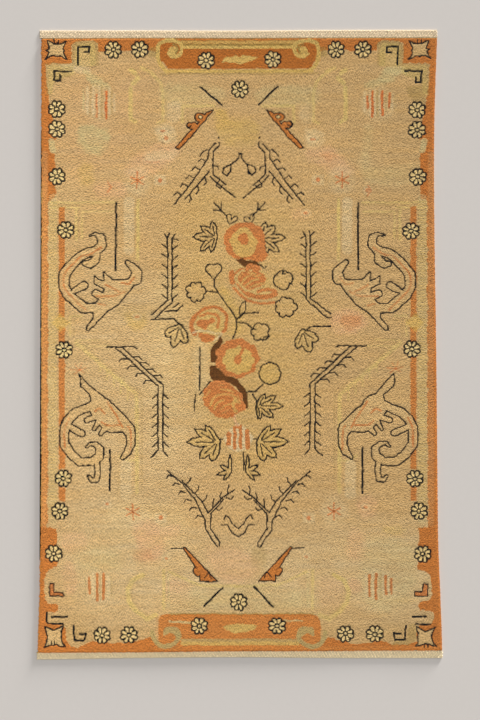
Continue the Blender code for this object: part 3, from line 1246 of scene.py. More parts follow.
LOWER_SCROLL_RIGHT = replace(LOWER_SCROLL, body=(
    (-16.8, 56), (-8.5, 47), (0.3, 35.8), (5, 34.4), (10.4, 30), (12, 25.8), (23.5, 15.3), (34, 5),
    (34, -6), (27, -7.6), (22.7, -2.2), (10, -2.8), (4, 0), (-3, 7), (-8, 14), (-12, 21), (-15, 26),
    (-9, 29.2), (-7.5, 35), (-17, 43.5), (-18.1, 49),
))

KEY_HOOKS = (
    KeyHook(((-162, 279.5), (-162, 297), (-150.6, 297), (-150.6, 291.8), (-155.4, 291.8))),
    KeyHook(((-169, 272.8), (-185.8, 272.8), (-185.6, 263.4), (-179.7, 263.4), (-179.7, 268.8))),
    KeyHook(((158, 279.7), (158, 297.2), (147, 297.2), (147, 291.4), (151.4, 291.2))),
    KeyHook(((165, 273), (182, 273), (181, 262), (176, 262), (176, 266.6))),
    KeyHook(((-193.6, -268.6), (-193.6, -277.5), (-192, -279.5), (-177.3, -279.7))),
    KeyHook(((-188.8, -273), (-173, -273))),
    KeyHook(((-166, -281.7), (-166, -296), (-155.8, -296.2), (-153.4, -290), (-160, -289.7))),
    KeyHook(((172.8, -272.6), (186.4, -272.6))),
    KeyHook(((176, -280), (190.6, -280))),
    KeyHook(((166, -281.7), (165.4, -295.4), (155, -295.4), (153.6, -289), (161, -289.4))),
)

LONG_BARS = (
    KeyHook(((-124, 141), (-124, 73.5)), 2.1),
    KeyHook(((118.3, 141), (118.3, 75)), 2.1),
    KeyHook(((-129.8, -106), (-129.8, -146.5)), 2.1),
    KeyHook(((122.5, -103.5), (122.5, -149)), 2.1),
    KeyHook(((-40, 257), (-18.4, 239.2)), 2.1),
    KeyHook(((37.4, 257), (18.8, 239.6)), 2.1),
    KeyHook(((-17.1, -243.6), (-36, -262.2)), 2.1),
    KeyHook(((14.5, -242.7), (32.8, -262.8)), 2.1),
)

ROSETTE_PLACES = (
    (-126.6, 294.3), (-100.2, 294.5), (-33.8, 283.8), (33, 284.5), (96, 294.4), (123, 294.4),
    (0, 254.7),
    (-183, 234.7), (-183, 214.7), (-183, 167.4), (-174, 114), (-176, -6), (-176.5, -134.3),
    (-180, -167), (-186.3, -209.6),
    (177, 234), (177, 214), (178, 167), (171, 113), (172, -5), (175, -134.5), (179, -167), (183, -210),
    (-137.8, -291.5), (-111, -291), (-40.6, -282), (37, -282), (105.5, -290), (135, -290),
    (-1.3, -258),
)

UPPER_TWIG = Twig(
    lines=(
        ((-24.2, 202), (-31, 194.8), (-31.8, 187), (-46.4, 164.7), (-65.9, 140.3)),
        ((-20.6, 203), (-20.4, 199.4), (-26.7, 193), (-26.9, 171), (-14, 160.3)),
        ((-30.7, 174), (-45.3, 156.5), (-54.5, 146.8)),
        ((-30, 169), (-22.5, 162), (-4.7, 148)),
        ((-21, 208), (-20.4, 207)),
    ),
    barbs=(
        Barbs((-34, 184), (-58, 150.5), 5, ((-4.5, 2.5), (-7.5, -0.5))),
        Barbs((-33, 196), (-34, 195), 1, ((-4, -3), (-7, -7))),
        Barbs((-35, 168), (-50, 151), 3, ((1.5, -5), (-1, -8))),
        Barbs((-27, 180), (-26, 178), 1, ((5, -1), (6, -4))),
        Barbs((-21, 165), (-19, 163), 1, ((-2.5, -5.5), (2, -8), (4, -5))),
    ),
)

LOWER_TWIG = Twig(
    lines=(
        ((-72.8, -127), (-58, -139.7), (-44.6, -157), (-35, -176.4), (-34.3, -186), (-22.8, -202.8)),
        ((-58.4, -137), (-37.2, -159), (-32, -169), (-16.5, -153.5), (-5.3, -146.4)),
        ((-16.5, -156.3), (-29.2, -169.6), (-29.7, -185), (-20.5, -198.3), (-21, -202.3)),
    ),
    barbs=(
        Barbs((-66, -133), (-37, -173), 6, ((-5, 1.5), (-7.5, -1.5))),
        Barbs((-54, -141), (-38, -158.5), 3, ((3.5, 3.5), (4.5, 7))),
        Barbs((-27, -164), (-12, -151), 3, ((-0.5, 5), (1, 8.5))),
        Barbs((-25, -165), (-14, -154), 2, ((4.5, -1.5), (7, 1))),
    ),
)

FAR_SIDE_TWIG = Twig(
    lines=(
        ((-75.4, 110), (-72.2, 105), (-72.2, 43.5)),
        ((-72.2, 105), (-70.6, 111)),
        ((-65, 110), (-67.9, 105), (-67.9, 43.5)),
        ((-67.6, 106), (-62, 104)),
    ),
    barbs=(
        Barbs((-72.6, 96), (-72.6, 45), 6, ((-5.4, 4.3),)),
        Barbs((-67.6, 94), (-67.6, 45), 6, ((5.2, 4.3),)),
    ),
)

FAR_TWIG_FEET = (
    Twig((
        ((-72.2, 43.5), (-75, 41.5), (-89, 29)), ((-67.9, 43.5), (-67.9, 41.5), (-85.2, 25.7)),
        ((-89, 24.4), (-66.2, 24.9), (-59.7, 19.2), (-58, 16.5)), ((-75, 32.8), (-63, 33.3), (-56.7, 38.5)),
        ((-66.2, 36.4), (-61.4, 40.7)),
    )),
    Twig((
        ((65.9, 46), (70, 41), (87.6, 26), (91.8, 26)), ((70.7, 46), (72, 44.5), (91, 30)),
        ((64.3, 12.3), (70.2, 17.3), (91, 17.3)),
    )),
)

NEAR_SIDE_TWIG = Twig(
    lines=(
        ((-133.5, -3), (-106.4, -2.3), (-103.1, -4.4)),
        ((-123.7, -4), (-82, -41.5), (-82, -106), (-89.3, -113)),
        ((-117.8, -3), (-77.1, -41), (-77.1, -106), (-72.5, -111.6)),
    ),
    barbs=(
        Barbs((-107, -12.5), (-86, -31.5), 4, ((6, 0.5), (8.5, -2.5))),
        Barbs((-112, -15), (-88, -37), 4, ((-6, 0.5), (-8.5, -2.5))),
        Barbs((-82.4, -50), (-82.4, -98), 6, ((-5.4, -4.3),)),
        Barbs((-76.8, -50), (-76.8, -98), 6, ((5.2, -4.3),)),
    ),
)

BUD_TWIG_FAR = Twig(
    lines=(
        ((-1.3, 191), (-1.3, 186), (-9, 179), (-9.5, 172), (-12, 168)),
        ((1.3, 191), (1.3, 186), (7, 180), (8, 172), (12, 169)),
        ((-1.3, 190), (1.4, 190)),
        ((-9, 179), (-16, 176), (-17.5, 171), (-13, 168), (-10, 172)),
        ((7, 180), (14, 178), (16, 172.5), (12, 169), (9, 173)),
    ),
)

BUD_TWIG_NEAR = Twig(
    lines=(
        ((-1.6, -193), (-8, -188.5), (-12, -181), (-18.3, -181)),
        ((-1.6, -193), (5, -188.5), (8.5, -181), (14, -181)),
        ((-1.6, -184.5), (-7, -180), (-10, -174), (-14, -171), (-16, -175)),
        ((-1.6, -184.5), (3.5, -180), (6.7, -174), (10.7, -171), (13, -175)),
    ),
)


@dataclass(frozen=True)
class CloudWedge:
    """A rust wedge with a bumpy back and a dark edge, that points to the rug's middle."""

    def far(self, pen: Pen) -> None:
        """Draws a wedge of the far end, for the left side."""
        pen.limbs(
            [Limb([(-46, 218, 3.6), (-50, 218.5, 3.2)]), Limb([(-38, 226, 4.6), (-41, 226.5, 4.2)])],
            [(-27, 233.6), (-33, 232), (-37, 227), (-44, 218), (-51, 211.5), (-65, 196), (-61, 194.6),
             (-49, 206.5)],
            Wool.RUST, Wool.INK, 1.3,
        )
        pen.oval(-39.5, 227, 1.9, 1.8, Wool.SHELL, outline=Wool.INK, width=1.0)
        pen.stroke([(-51, 222), (-54, 219), (-51, 216.5), (-48.5, 218.5)], Wool.INK, 1.1)

    def near(self, pen: Pen) -> None:
        """Draws a wedge of the near end, for the left side."""
        pen.limbs(
            [Limb([(-44, -226.5, 3.0), (-42, -229, 3.2)])],
            [(-57, -203.5), (-55, -203), (-22.4, -237.6), (-40, -237.4), (-40.5, -228), (-45, -222)],
            Wool.RUST, Wool.INK, 1.3,
        )
        pen.stroke([(-68.5, -204.4), (-57, -204.4)], Wool.INK, 1.3)
        pen.stroke([(-36, -234), (-31, -228), (-29, -234.5)], Wool.INK, 1.1)


@dataclass(frozen=True)
class Bouquet:
    """The stem of roses, leaves and buds in the rug's middle."""

    def draw(self, pen: Pen) -> None:
        """Draws the bouquet from its background to its blooms."""
        self.halos(pen)
        self.stems(pen)
        self.leaves(pen)
        self.buds(pen)
        self.open_rose(pen)
        self.swirled_rose(pen)
        self.ringed_rose(pen)
        self.scalloped_rose(pen)
        self.full_rose(pen)
        self.striped_bud(pen)

    def halos(self, pen: Pen) -> None:
        """Draws the yellowish ground behind the stems."""
        pen.patch([(-22, 66), (-6, 44), (2, 30), (-4, 8), (-22, 10), (-14, 34)], Wool.YELLOW,
                  strength=0.45, curved=True, fade=0.3, feather=8)

    def stems(self, pen: Pen) -> None:
        """Draws the thick dark stems and the thin ones."""
        pen.patch([(-20.4, 9.8), (-18.2, 8), (-17.2, 2), (-20.5, -4), (-22.4, -12), (-23, -18),
                   (-29.4, -18.5), (-29.6, -7), (-26.4, 0), (-22, 4)], Wool.WALNUT)
        pen.patch([(-29.4, -21.6), (-23.8, -21.3), (-22, -24.8), (-17, -27.2), (-13, -31), (-5.4, -34),
                   (-2.3, -34.8), (-0.8, -38.7), (3, -42.5), (7.7, -47.9), (8.2, -65), (4.4, -64), (2, -52),
                   (-4, -43.5), (-10, -39.6), (-20, -38.2), (-28.6, -36), (-30, -29)], Wool.WALNUT)
        thin = (
            [(-26, 64.5), (-25.6, 57.5), (-21.4, 51), (-11, 36.5), (-3.4, 26), (-3, 20.5), (-5, 10),
             (-7.2, 5)],
            [(-34, 53), (-22, 51)],
            [(-3, 22), (6, 20.8), (12, 16.5)],
            [(-2, 25), (3, 31), (18.8, 31.2)],
            [(-40, -4), (-40.4, -46)],
            [(-44.7, -50), (-45.5, -67.4)],
            [(-40.5, -50.5), (-29.5, -37.5)],
            [(6.6, -47.5), (14.6, -48), (23, -40.6)],
            [(12.7, -50), (17, -56), (17.6, -74.6)],
            [(-26, 141.5), (-18.7, 134), (-13.3, 127.5)],
            [(25, 141.5), (18, 134), (12.5, 127.5)],
            [(-19, 141), (-18.7, 134), (-26.5, 134)],
            [(18, 141), (18, 134), (25.5, 134)],
        )
        for line in thin:
            pen.stroke(line, Wool.INK, 1.45)

    def leaves(self, pen: Pen) -> None:
        """Draws the lobed leaves, large and small."""
        far_left = ((0, 1.0, 0.20), (-37, 0.82, 0.17), (-78, 0.70, 0.16), (44, 0.95, 0.17),
                    (74, 0.76, 0.15))
        far_right = ((0, 1.0, 0.18), (43, 0.76, 0.17), (78, 0.68, 0.16), (-40, 0.95, 0.17),
                     (-68, 0.68, 0.15))
        near = ((0, 1.0, 0.18), (-31, 0.86, 0.15), (-56, 0.68, 0.13), (43, 0.80, 0.17), (76, 0.68, 0.18))
        right = ((0, 1.0, 0.16), (30, 0.83, 0.15), (65, 0.56, 0.13), (-39, 0.78, 0.15), (-86, 0.56, 0.12))
        small = ((-88, 1.12, 0.12), (-28, 0.84, 0.14), (17, 0.98, 0.15), (53, 0.82, 0.13))
        LobedLeaf(21.5, 180, lobes=far_left).draw(pen.at(-25.0, 107.5))
        LobedLeaf(23.0, 0, lobes=far_right).draw(pen.at(22.3, 106))
        for side in (pen.at(-23.4, -98), pen.at(19.6, -98, mirror=True)):
            LobedLeaf(29.0, 180, lobes=near, wool=Wool.YELLOW, strength=0.35).draw(side)
            side.stroke([(2.6, 3.4), (8.4, 2.8)], Wool.INK, 1.2)
        LobedLeaf(23.5, 0, lobes=right, wool=Wool.YELLOW, strength=0.2).draw(pen.at(19, -62))
        for side in (pen.at(-9.6, -127), pen.at(7.4, -127, mirror=True)):
            LobedLeaf(14.0, 180, lobes=small, wool=Wool.YELLOW, strength=0.2, veins=False).draw(side)
        pen.stroke([(3.8, -108.8), (3.9, -126.3)], Wool.INK, 1.7)
        sepals = [Limb([(0, -1, 1.5), (side * 3.5, 4, 2.4), (side * 4, 6, 0.6)]) for side in (-1, 1)]
        for x, turn in ((-9.5, -20), (10.5, 20)):
            pen.at(x, 122.5, turn=turn).limbs(sepals, None, None, Wool.INK, 1.1)
        pen.patch([(-0.8, 36), (2.6, 41.6), (5.4, 43), (5.6, 34), (3.4, 29.6), (0.2, 26.4)], None,
                  outline=Wool.INK, width=1.1)

    def buds(self, pen: Pen) -> None:
        """Draws the outline buds and small wavy blooms."""
        Bloom(((32, 4.0, 4.8), (148, 4.0, 4.8), (270, 6.4, 2.0)), 5.8).draw(pen.at(-26.3, 73.2))
        Bloom(tuple((angle, 4.8, 6.0) for angle in range(0, 360, 45)), 6.0, wool=Wool.YELLOW).draw(
            pen.at(29.9, -29.6))
        Bloom(((10, 5.6, 4.4), (70, 6.8, 3.4), (115, 7.2, 3.0), (160, 8.2, 3.2), (205, 7.6, 2.8),
               (250, 6.6, 3.4), (305, 5.6, 4.2)), 5.2).draw(pen.at(-43.6, 52))
        Bloom(((20, 3.6, 6.4), (100, 3.4, 6.0), (190, 3.8, 6.4), (270, 3.2, 6.8)), 7.0,
              creases=(((0, 9), (-1, 6.5), (1.5, 5.5)), ((6, -3), (9.5, -4.5)))).draw(pen.at(43.2, 64))
        Bloom(((0, 8.4, 3.8), (50, 6.4, 4.0), (105, 6.2, 3.8), (155, 7.0, 3.4), (200, 6.8, 3.6),
               (250, 7.4, 3.4), (305, 6.8, 4.0)), 5.6).draw(pen.at(45.2, 37))
        Bloom(((40, 4.8, 5.2), (110, 4.2, 5.0), (180, 5.4, 3.8), (240, 6.0, 3.4), (320, 5.0, 4.6)), 4.6,
              creases=(((-9, 3), (-4, 2.5)), ((3, -9), (4, -5), (9, -4)))).draw(pen.at(20.4, 12))

    def open_rose(self, pen: Pen) -> None:
        """Draws the far rose: a thick ring round a straw disc."""
        rose = pen.at(4.6, 102.3)
        rose.patch([(-20.5, 2), (-17, 12), (-8, 18), (4, 18.6), (14, 16), (19.6, 10), (20.4, 0),
                    (21, -10), (23, -14), (14, -21), (6, -18), (-6, -18), (-16, -12)],
                   Wool.ROSE, curved=True, ragged=0.9)
        rose.patch([(-14, 2), (-9, 9), (-2, 14), (5, 12), (8, 7), (12.5, 2), (12, -5), (8, -12), (2, -16),
                    (-7, -14), (-13, -6)], Wool.STRAW, curved=True, ragged=1.1, strength=0.80)
        rose.oval(-0.8, 2.4, 4.9, 5.9, Wool.ROSE, ragged=0.9)
        pen.patch([(-5.6, 84.4), (-1.5, 84.2), (2.5, 86.6), (5.7, 84.2), (12, 83.2), (15.4, 83.6),
                   (18.6, 80.8), (23, 77), (17, 77.8), (12, 79.2), (8.1, 78), (5.7, 75.6), (1.6, 79),
                   (-1.6, 82)], Wool.WALNUT)
        pen.stroke([(18, 79.6), (23.6, 75.8), (26.2, 76.6)], Wool.INK, 1.3)

    def swirled_rose(self, pen: Pen) -> None:
        """Draws the rose of loose curled petals."""
        rose = pen.at(9, 63)
        rose.patch([(-14, 10), (0, 14), (14, 10), (22, -4), (16, -16), (-6, -16)], Wool.STRAW,
                   curved=True, strength=0.35, feather=3)
        rose.patch([(-19.3, 7.5), (-17.5, 9.9), (-14.4, 8.8), (-15.0, 4.5), (-14.4, -1.7), (-16.7, -4.4),
                    (-19.3, -1.7), (-20, 3)], Wool.ROSE, curved=True, ragged=0.7)
        rose.patch([(-4.8, 9.6), (-2.4, 15.2), (2.5, 17.2), (8.7, 15.4), (13.4, 10.8), (7.2, 10.2),
                    (1.6, 11.6)], Wool.ROSE, curved=True, ragged=0.8)
        rose.patch([(-10, 7.8), (-6, 10), (1.8, 10.6), (8.7, 9.4), (16.6, 3.7), (15.8, -1.7), (10.2, -5.5),
                    (2.5, -8), (-4.4, -7.3), (-9.2, -1.7), (-10.8, 3.7)], Wool.ROSE, curved=True, ragged=1.2)
        curls = (
            ([(-14.6, 6.6), (-10, 11.2), (-5, 12.4)], 1.8), ([(-15, -7), (-9, -14), (-2.8, -18.4)], 2.8),
            ([(-11.6, -3), (-6, -10.8), (-0.5, -14.4)], 2.2),
            ([(-1.8, -13.2), (7.2, -15.6), (16.4, -15.8), (26.2, -13.6)], 4.8),
            ([(9.4, -10.2), (18, -8.4), (26.4, -10.4)], 3.6),
            ([(-1.4, -19.6), (10.2, -22.2), (24.4, -21.6)], 2.4),
        )
        for course, width in curls:
            rose.stroke(course, Wool.ROSE, width, 0.95, curved=True)
        streaks = (
            ([(-8, -4), (-4, 2.6), (3, 6.8)], 1.7), ([(-5, -5.4), (2.5, -0.2), (9.5, 2.2)], 1.9),
            ([(0, -7), (7.2, -3.2), (15, -1.7)], 1.7), ([(-1, 8.8), (7.4, 7.6)], 1.4),
            ([(5, 5), (12, 5.4)], 1.4), ([(-9.4, 4), (-6, 7.6)], 1.3),
        )
        for course, width in streaks:
            rose.stroke(course, Wool.STRAW, width, 0.75, curved=True, fade=0.2)

    def ringed_rose(self, pen: Pen) -> None:
        """Draws the left rose: thin rings round a full heart."""
        rose = pen.at(-30.5, 20.3)
        rose.patch(arc(0, 0, 15, 14.5, 0, 345), Wool.STRAW, strength=0.55)
        rose.stroke([(-14, 8), (-17.6, 1.5), (-17.4, -6), (-14.6, -10.4)], Wool.ROSE, 4.4, curved=True)
        rose.stroke([(-14, 8), (-6, 14), (5, 16.6), (14, 12.4), (17.4, 5), (16.4, -4), (13.4, -8)],
                    Wool.ROSE, 3.2, curved=True)
        rose.stroke([(-9, 8), (-1, 9.8), (6, 9), (9.6, 4), (8, -3.4)], Wool.ROSE, 2.8, 0.9, curved=True)
        rose.patch([(-12.4, 2), (-8, 5), (-3, 3.6), (3, 6.2), (6, 3), (0, -1), (-3, -5.6), (-8, -4.8),
                    (-12.4, -1)], Wool.ROSE, curved=True, ragged=0.8)
        rose.patch([(-11, -8.6), (-5, -10.2), (2, -11), (6.4, -13.4), (2, -17), (-4, -18.6), (-9.6, -15)],
                   Wool.ROSE, curved=True, ragged=0.7)
        rose.stroke([(-16, -9), (-9, -7), (-3, -7.6), (6, -9.6), (12.6, -9.4), (10, -13), (4, -17)],
                    Wool.PEARL, 1.8, 0.75, curved=True)

    def scalloped_rose(self, pen: Pen) -> None:
        """Draws the fourth rose: a scalloped ring round a straw disc."""
        rose = pen.at(-2.6, -14.4)
        rose.patch(scalloped(0, 0, 21.5, 19.5, depth=1.1, lobes=9), Wool.ROSE, ragged=0.8)
        rose.patch(scalloped(1, -2, 15.4, 13.4, depth=0.9, lobes=8), Wool.STRAW, strength=0.92, ragged=0.9)
        rose.oval(0.8, -1.5, 4.0, 5.0, Wool.ROSE)
        rose.stroke([(2, 2), (5, 8), (6.5, 14)], Wool.ROSE, 3.0, curved=True)

    def full_rose(self, pen: Pen) -> None:
        """Draws the near rose: nearly solid, with straw streaks between its petals."""
        rose = pen.at(-15.6, -56.6)
        rose.patch([(-22.1, 7.9), (-17.5, 14.1), (-11.3, 18.7), (-2.1, 19.9), (5.6, 16.4), (10.6, 11.4),
                    (17.1, 6.8), (18.9, -1.3), (21.8, -9), (16.4, -11.2), (10.2, -14), (1, -18.6),
                    (-8.2, -15.5), (-15.9, -9), (-20.4, -1.3)], Wool.ROSE, curved=True, ragged=1.0)
        streaks = (
            ([(-13.6, -4.4), (-11.3, 1.8), (-5.2, 5.6), (2.5, 6.4), (9.4, 4.1), (12.8, -1.6)], 2.6, 0.75),
            ([(-3, 11.2), (4, 10.4), (9.4, 8)], 1.8, 0.7),
            ([(-9.8, -8.6), (-7.6, -3), (-1, 0.4)], 2.2, 0.7),
            ([(10.4, 0.2), (9.4, -5.9), (12, -10.8)], 3.0, 0.8),
            ([(-3.6, -8.4), (2.4, -4.4), (8, -3)], 1.6, 0.7),
            ([(-19.8, 3.3), (-14.4, 9.4)], 1.7, 0.5), ([(-2, -13), (4, -9.6)], 1.5, 0.5),
            ([(13, 5), (16, -3)], 1.6, 0.5), ([(-6, 15), (-1, 15.6)], 1.4, 0.4),
        )
        for course, width, strength in streaks:
            rose.stroke(course, Wool.STRAW, width, strength, curved=True, fade=0.25)

    def striped_bud(self, pen: Pen) -> None:
        """Draws the striped bud at the stem's foot."""
        bud = pen.at(-2, -93.5)
        bud.patch([(-15, -1), (-8, 8), (0, 14.4), (10, 8), (15.6, 1), (10, -12), (0, -14), (-9, -11)],
                  Wool.PEARL, strength=0.95, feather=2)
        for x, foot, top, width in (
            (-9.2, -6.2, 3.4, 4.8), (-3.2, -10.4, 10, 3.5), (2.6, -10, 11.2, 3.4), (9.4, -10, 6.6, 4.4),
        ):
            bud.stroke([(x, foot), (x, top)], Wool.ROSE, width)
        bud.oval(-0.2, 10.6, 4.2, 1.6, Wool.ROSE)
        bud.stroke([(0, 12), (-3, 17), (-3, 22)], Wool.BLUSH, 2.0, 0.8)
        bud.oval(-5, 22, 1.8, 2.4, Wool.CORAL, strength=0.6)


STRIPE_BUNCHES = (
    StripeBunch((
        Stripe(-156.5, 234, 254, 1.6, Wool.SAGE, 0.8), Stripe(-152.5, 230, 257, 2.4, Wool.PEARL, 0.6),
        Stripe(-149.4, 229, 258, 1.4, Wool.OLIVE, 0.35), Stripe(-146.6, 228, 258, 2.0, Wool.PEARL, 0.7),
        Stripe(-143, 227, 250, 1.6, Wool.CORAL, 0.75), Stripe(-140.6, 226, 258, 1.6, Wool.PEARL, 0.7),
        Stripe(-138, 226, 258, 2.4, Wool.OLIVE, 0.32), Stripe(-133.7, 226, 252, 2.4, Wool.CORAL, 0.95),
        Stripe(-130.6, 229, 256, 1.8, Wool.PEARL, 0.7), Stripe(-128.2, 231, 253, 1.4, Wool.OLIVE, 0.45),
        Stripe(-125.6, 233, 250, 1.6, Wool.PEARL, 0.5),
    ), (-141, 241, 17, 18)),
    StripeBunch((
        Stripe(124.6, 233, 252, 1.8, Wool.PEARL, 0.6), Stripe(127.7, 236, 248, 2.2, Wool.CORAL, 0.9),
        Stripe(130.2, 228, 254, 1.6, Wool.PEARL, 0.6), Stripe(132.4, 227, 252, 2.6, Wool.CORAL, 0.95),
        Stripe(135, 228, 255, 1.6, Wool.PEARL, 0.6), Stripe(137.2, 228, 252, 2.2, Wool.OLIVE, 0.35),
        Stripe(139.6, 228, 255, 1.6, Wool.PEARL, 0.6), Stripe(142.2, 228.5, 252.5, 2.5, Wool.CORAL, 0.95),
        Stripe(146, 232, 252, 1.6, Wool.OLIVE, 0.30), Stripe(149.7, 237, 251, 2.2, Wool.CORAL, 0.9),
        Stripe(152.6, 234, 250, 1.6, Wool.PEARL, 0.6), Stripe(155.4, 235, 247, 1.4, Wool.OLIVE, 0.25),
    ), (139, 241, 18, 18)),
    StripeBunch((
        Stripe(-150.7, -250, -234, 2.4, Wool.ROSE, 0.9), Stripe(-142.6, -257, -230, 2.4, Wool.ROSE, 0.95),
        Stripe(-136.4, -255, -230, 2.6, Wool.ROSE, 0.95), Stripe(-146.6, -255, -229, 2.6, Wool.PEARL, 0.6),
        Stripe(-139.6, -256, -229, 1.6, Wool.OLIVE, 0.22), Stripe(-131.4, -254, -232, 2.4, Wool.PEARL, 0.55),
        Stripe(-128.4, -252, -234, 1.4, Wool.OLIVE, 0.30), Stripe(-154.6, -251, -234, 1.6, Wool.OLIVE, 0.28),
    ), (-142, -242, 15, 17)),
    StripeBunch((
        Stripe(126.4, -253, -231, 1.8, Wool.PEARL, 0.6), Stripe(129.7, -252, -231, 2.7, Wool.ROSE, 0.95),
        Stripe(133, -255, -229, 1.6, Wool.PEARL, 0.6), Stripe(136.2, -255, -230, 2.7, Wool.ROSE, 0.95),
        Stripe(140.8, -256, -229, 2.6, Wool.OLIVE, 0.25), Stripe(143.4, -253, -230, 1.4, Wool.PEARL, 0.5),
        Stripe(146, -249.6, -232.4, 2.7, Wool.ROSE, 0.95), Stripe(148.8, -250, -233, 1.4, Wool.PEARL, 0.5),
        Stripe(151.4, -249.4, -235, 2.4, Wool.ROSE, 0.9),
    ), (140, -242, 17, 17)),
)

CORAL_STARS = ((-103, 163.6), (102, 164.3), (-107, -168), (94, -167.4))
PALE_SQUARES = ((-80, 164), (78, 164), (-79, -174), (69, -174))
SPRAYS = ((-160.5, -26), (156, -25))
SPRAY_RAYS = ((-9, 1), (-4, 6), (2, 7), (7, 2), (-6, -4), (5, -3))

# Places of the coral dabs, with half their width and height
CORAL_DABS = (
    (-77, 213, 3.2, 1.2), (-73.3, 206, 2.4, 2.0), (73, 205, 3.0, 1.6), (127.5, 153.5, 2.0, 2.4),
    (66, 131, 2.6, 1.4), (-133, -160, 2.0, 1.6), (-74, -214, 1.6, 1.4), (66, -213, 2.0, 1.6),
    (126, -163, 2.2, 1.6), (-102.5, 27, 2.6, 1.2),
)


@dataclass
class RugPattern:
    """The whole pattern, drawn in order from the ground up."""

    chart: KnotChart

    def draw(self) -> None:
        """Draws everything on the chart."""
        pen = Pen(self.chart)
        Ground(FIELD_WASHES + mirrored(FRET_BANDS)).draw(pen)
        Border().draw(pen)
        self.corners(pen)
        self.small_marks(pen)
        self.line_work(pen)
        Bouquet().draw(pen)
        for x, y in ROSETTE_PLACES:
            Rosette().draw(pen.at(x, y))

    def pair(self, pen: Pen, motif: CornerStar | CloudScroll | Twig, left: Place, right: Place) -> None:
        """Draws a motif on the left and its mirror image on the right."""
        motif.draw(pen.at(*left))
        motif.draw(pen.at(*right, mirror=True))

    def corners(self, pen: Pen) -> None:
        """Draws the corner stars and hooks."""
        self.pair(pen, FAR_STAR, (-183.5, 294.6), (179.5, 294.7))
        NEAR_LEFT_STAR.draw(pen.at(-185.9, -292.6))
        NEAR_RIGHT_STAR.draw(pen.at(186, -292.7))
        pen.patch([(-190.4, -239.6), (-186.4, -239.6), (-186, -248.6), (-176.9, -248.8),
                   (-176.9, -252.2), (-190.4, -252.2)], Wool.ROSE, outline=Wool.INK, width=1.3)
        pen.patch([(187.8, -239.7), (183, -240), (182.4, -247.6), (175, -247.6), (175, -252),
                   (187.8, -252)], Wool.ROSE, outline=Wool.INK, width=1.3)
        for hook in KEY_HOOKS + LONG_BARS:
            hook.draw(pen)

    def small_marks(self, pen: Pen) -> None:
        """Draws the coral stars, dabs and stripe bunches."""
        for place in CORAL_STARS:
            Asterisk().draw(pen.at(*place))
        for x, y, across, along in CORAL_DABS:
            pen.oval(x, y, across + 2.5, along + 2.5, Wool.PEARL, strength=0.4, feather=3)
            pen.oval(x, y, across, along, Wool.CORAL, strength=0.7, fade=0.2)
        for x, y in PALE_SQUARES:
            pen.patch([(x - 6, y - 5), (x + 6, y - 5), (x + 6, y + 5), (x - 6, y + 5)], Wool.PEARL,
                      strength=0.45, feather=2)
            pen.oval(x, y, 2.2, 2.2, Wool.CORAL, strength=0.75)
        pen.stroke([(-94, 182), (-80, 182.4)], Wool.CORAL, 1.0, 0.55)
        for x, y in SPRAYS:
            for dx, dy in SPRAY_RAYS:
                pen.stroke([(x, y), (x + dx, y + dy)], Wool.CORAL, 1.3, 0.6, fade=0.3)
        for x, y in ((-130, 156), (130, 152)):
            pen.stroke([(x - 2, y + 6), (x + 1, y + 1), (x - 3, y - 4)], Wool.CORAL, 1.5, 0.6)
        for bunch in STRIPE_BUNCHES:
            bunch.draw(pen)

    def line_work(self, pen: Pen) -> None:
        """Draws the scrolls, twigs and wedges, each with its partner across the rug."""
        self.pair(pen, UPPER_SCROLL, (-140, 64), (134.3, 64))
        LOWER_SCROLL.draw(pen.at(-140, -86))
        LOWER_SCROLL_RIGHT.draw(pen.at(135.4, -85.6, mirror=True, stretch=1.065))
        self.pair(pen, UPPER_TWIG, (-0.2, -1.2), (-1.4, -1.5))
        self.pair(pen, LOWER_TWIG, (0.2, 0.4), (-2.4, 0))
        self.pair(pen, FAR_SIDE_TWIG, (0, 0), (-1.8, 2))
        for foot in FAR_TWIG_FEET:
            foot.draw(pen)
        self.pair(pen, NEAR_SIDE_TWIG, (0, -0.4), (-7.0, 1.2))
        for direction, foot in ((250, (-60, 17)), (290, (63, 12))):
            LobedLeaf(24, direction, lobes=((0, 0.9, 0.22), (40, 0.72, 0.2), (-40, 0.72, 0.2)),
                      strength=0.2, wool=Wool.YELLOW).draw(pen.at(*foot))
        BUD_TWIG_FAR.draw(pen)
        BUD_TWIG_NEAR.draw(pen)
        wedge = CloudWedge()
        wedge.far(pen)
        wedge.far(pen.at(-1.2, 0.6, mirror=True))
        wedge.near(pen)
        wedge.near(pen.at(-4.4, 0.4, mirror=True))


def add_node(tree: bpy.types.NodeTree, kind: str, x: float, y: float, **settings: object) -> bpy.types.Node:
    """Adds a node and sets its properties and inputs.

    Args:
        tree: The node tree.
        kind: The node's type.
        x: Its place in the editor.
        y: Its place in the editor.
        **settings: Properties, or inputs by name with spaces written as underscores.

    Returns:
        The node.
    """
    node = tree.nodes.new(kind)
    node.location = (x, y)
    for name, value in settings.items():
        if hasattr(node, name):
            setattr(node, name, value)
        else:
            node.inputs[name.replace("_", " ")].default_value = value
    return node


def principled(name: str, **inputs: float) -> tuple[bpy.types.Material, bpy.types.Node]:
    """Makes a material and sets its shader.

    Args:
        name: The material's name.
        **inputs: The shader's inputs by name, with spaces written as underscores.

    Returns:
        The material and its shader.
    """
    material = bpy.data.materials.new(name)
    material.use_nodes = True
    shader = material.node_tree.nodes["Principled BSDF"]
    for key, value in inputs.items():
        shader.inputs[key.replace("_", " ")].default_value = value
    return material, shader


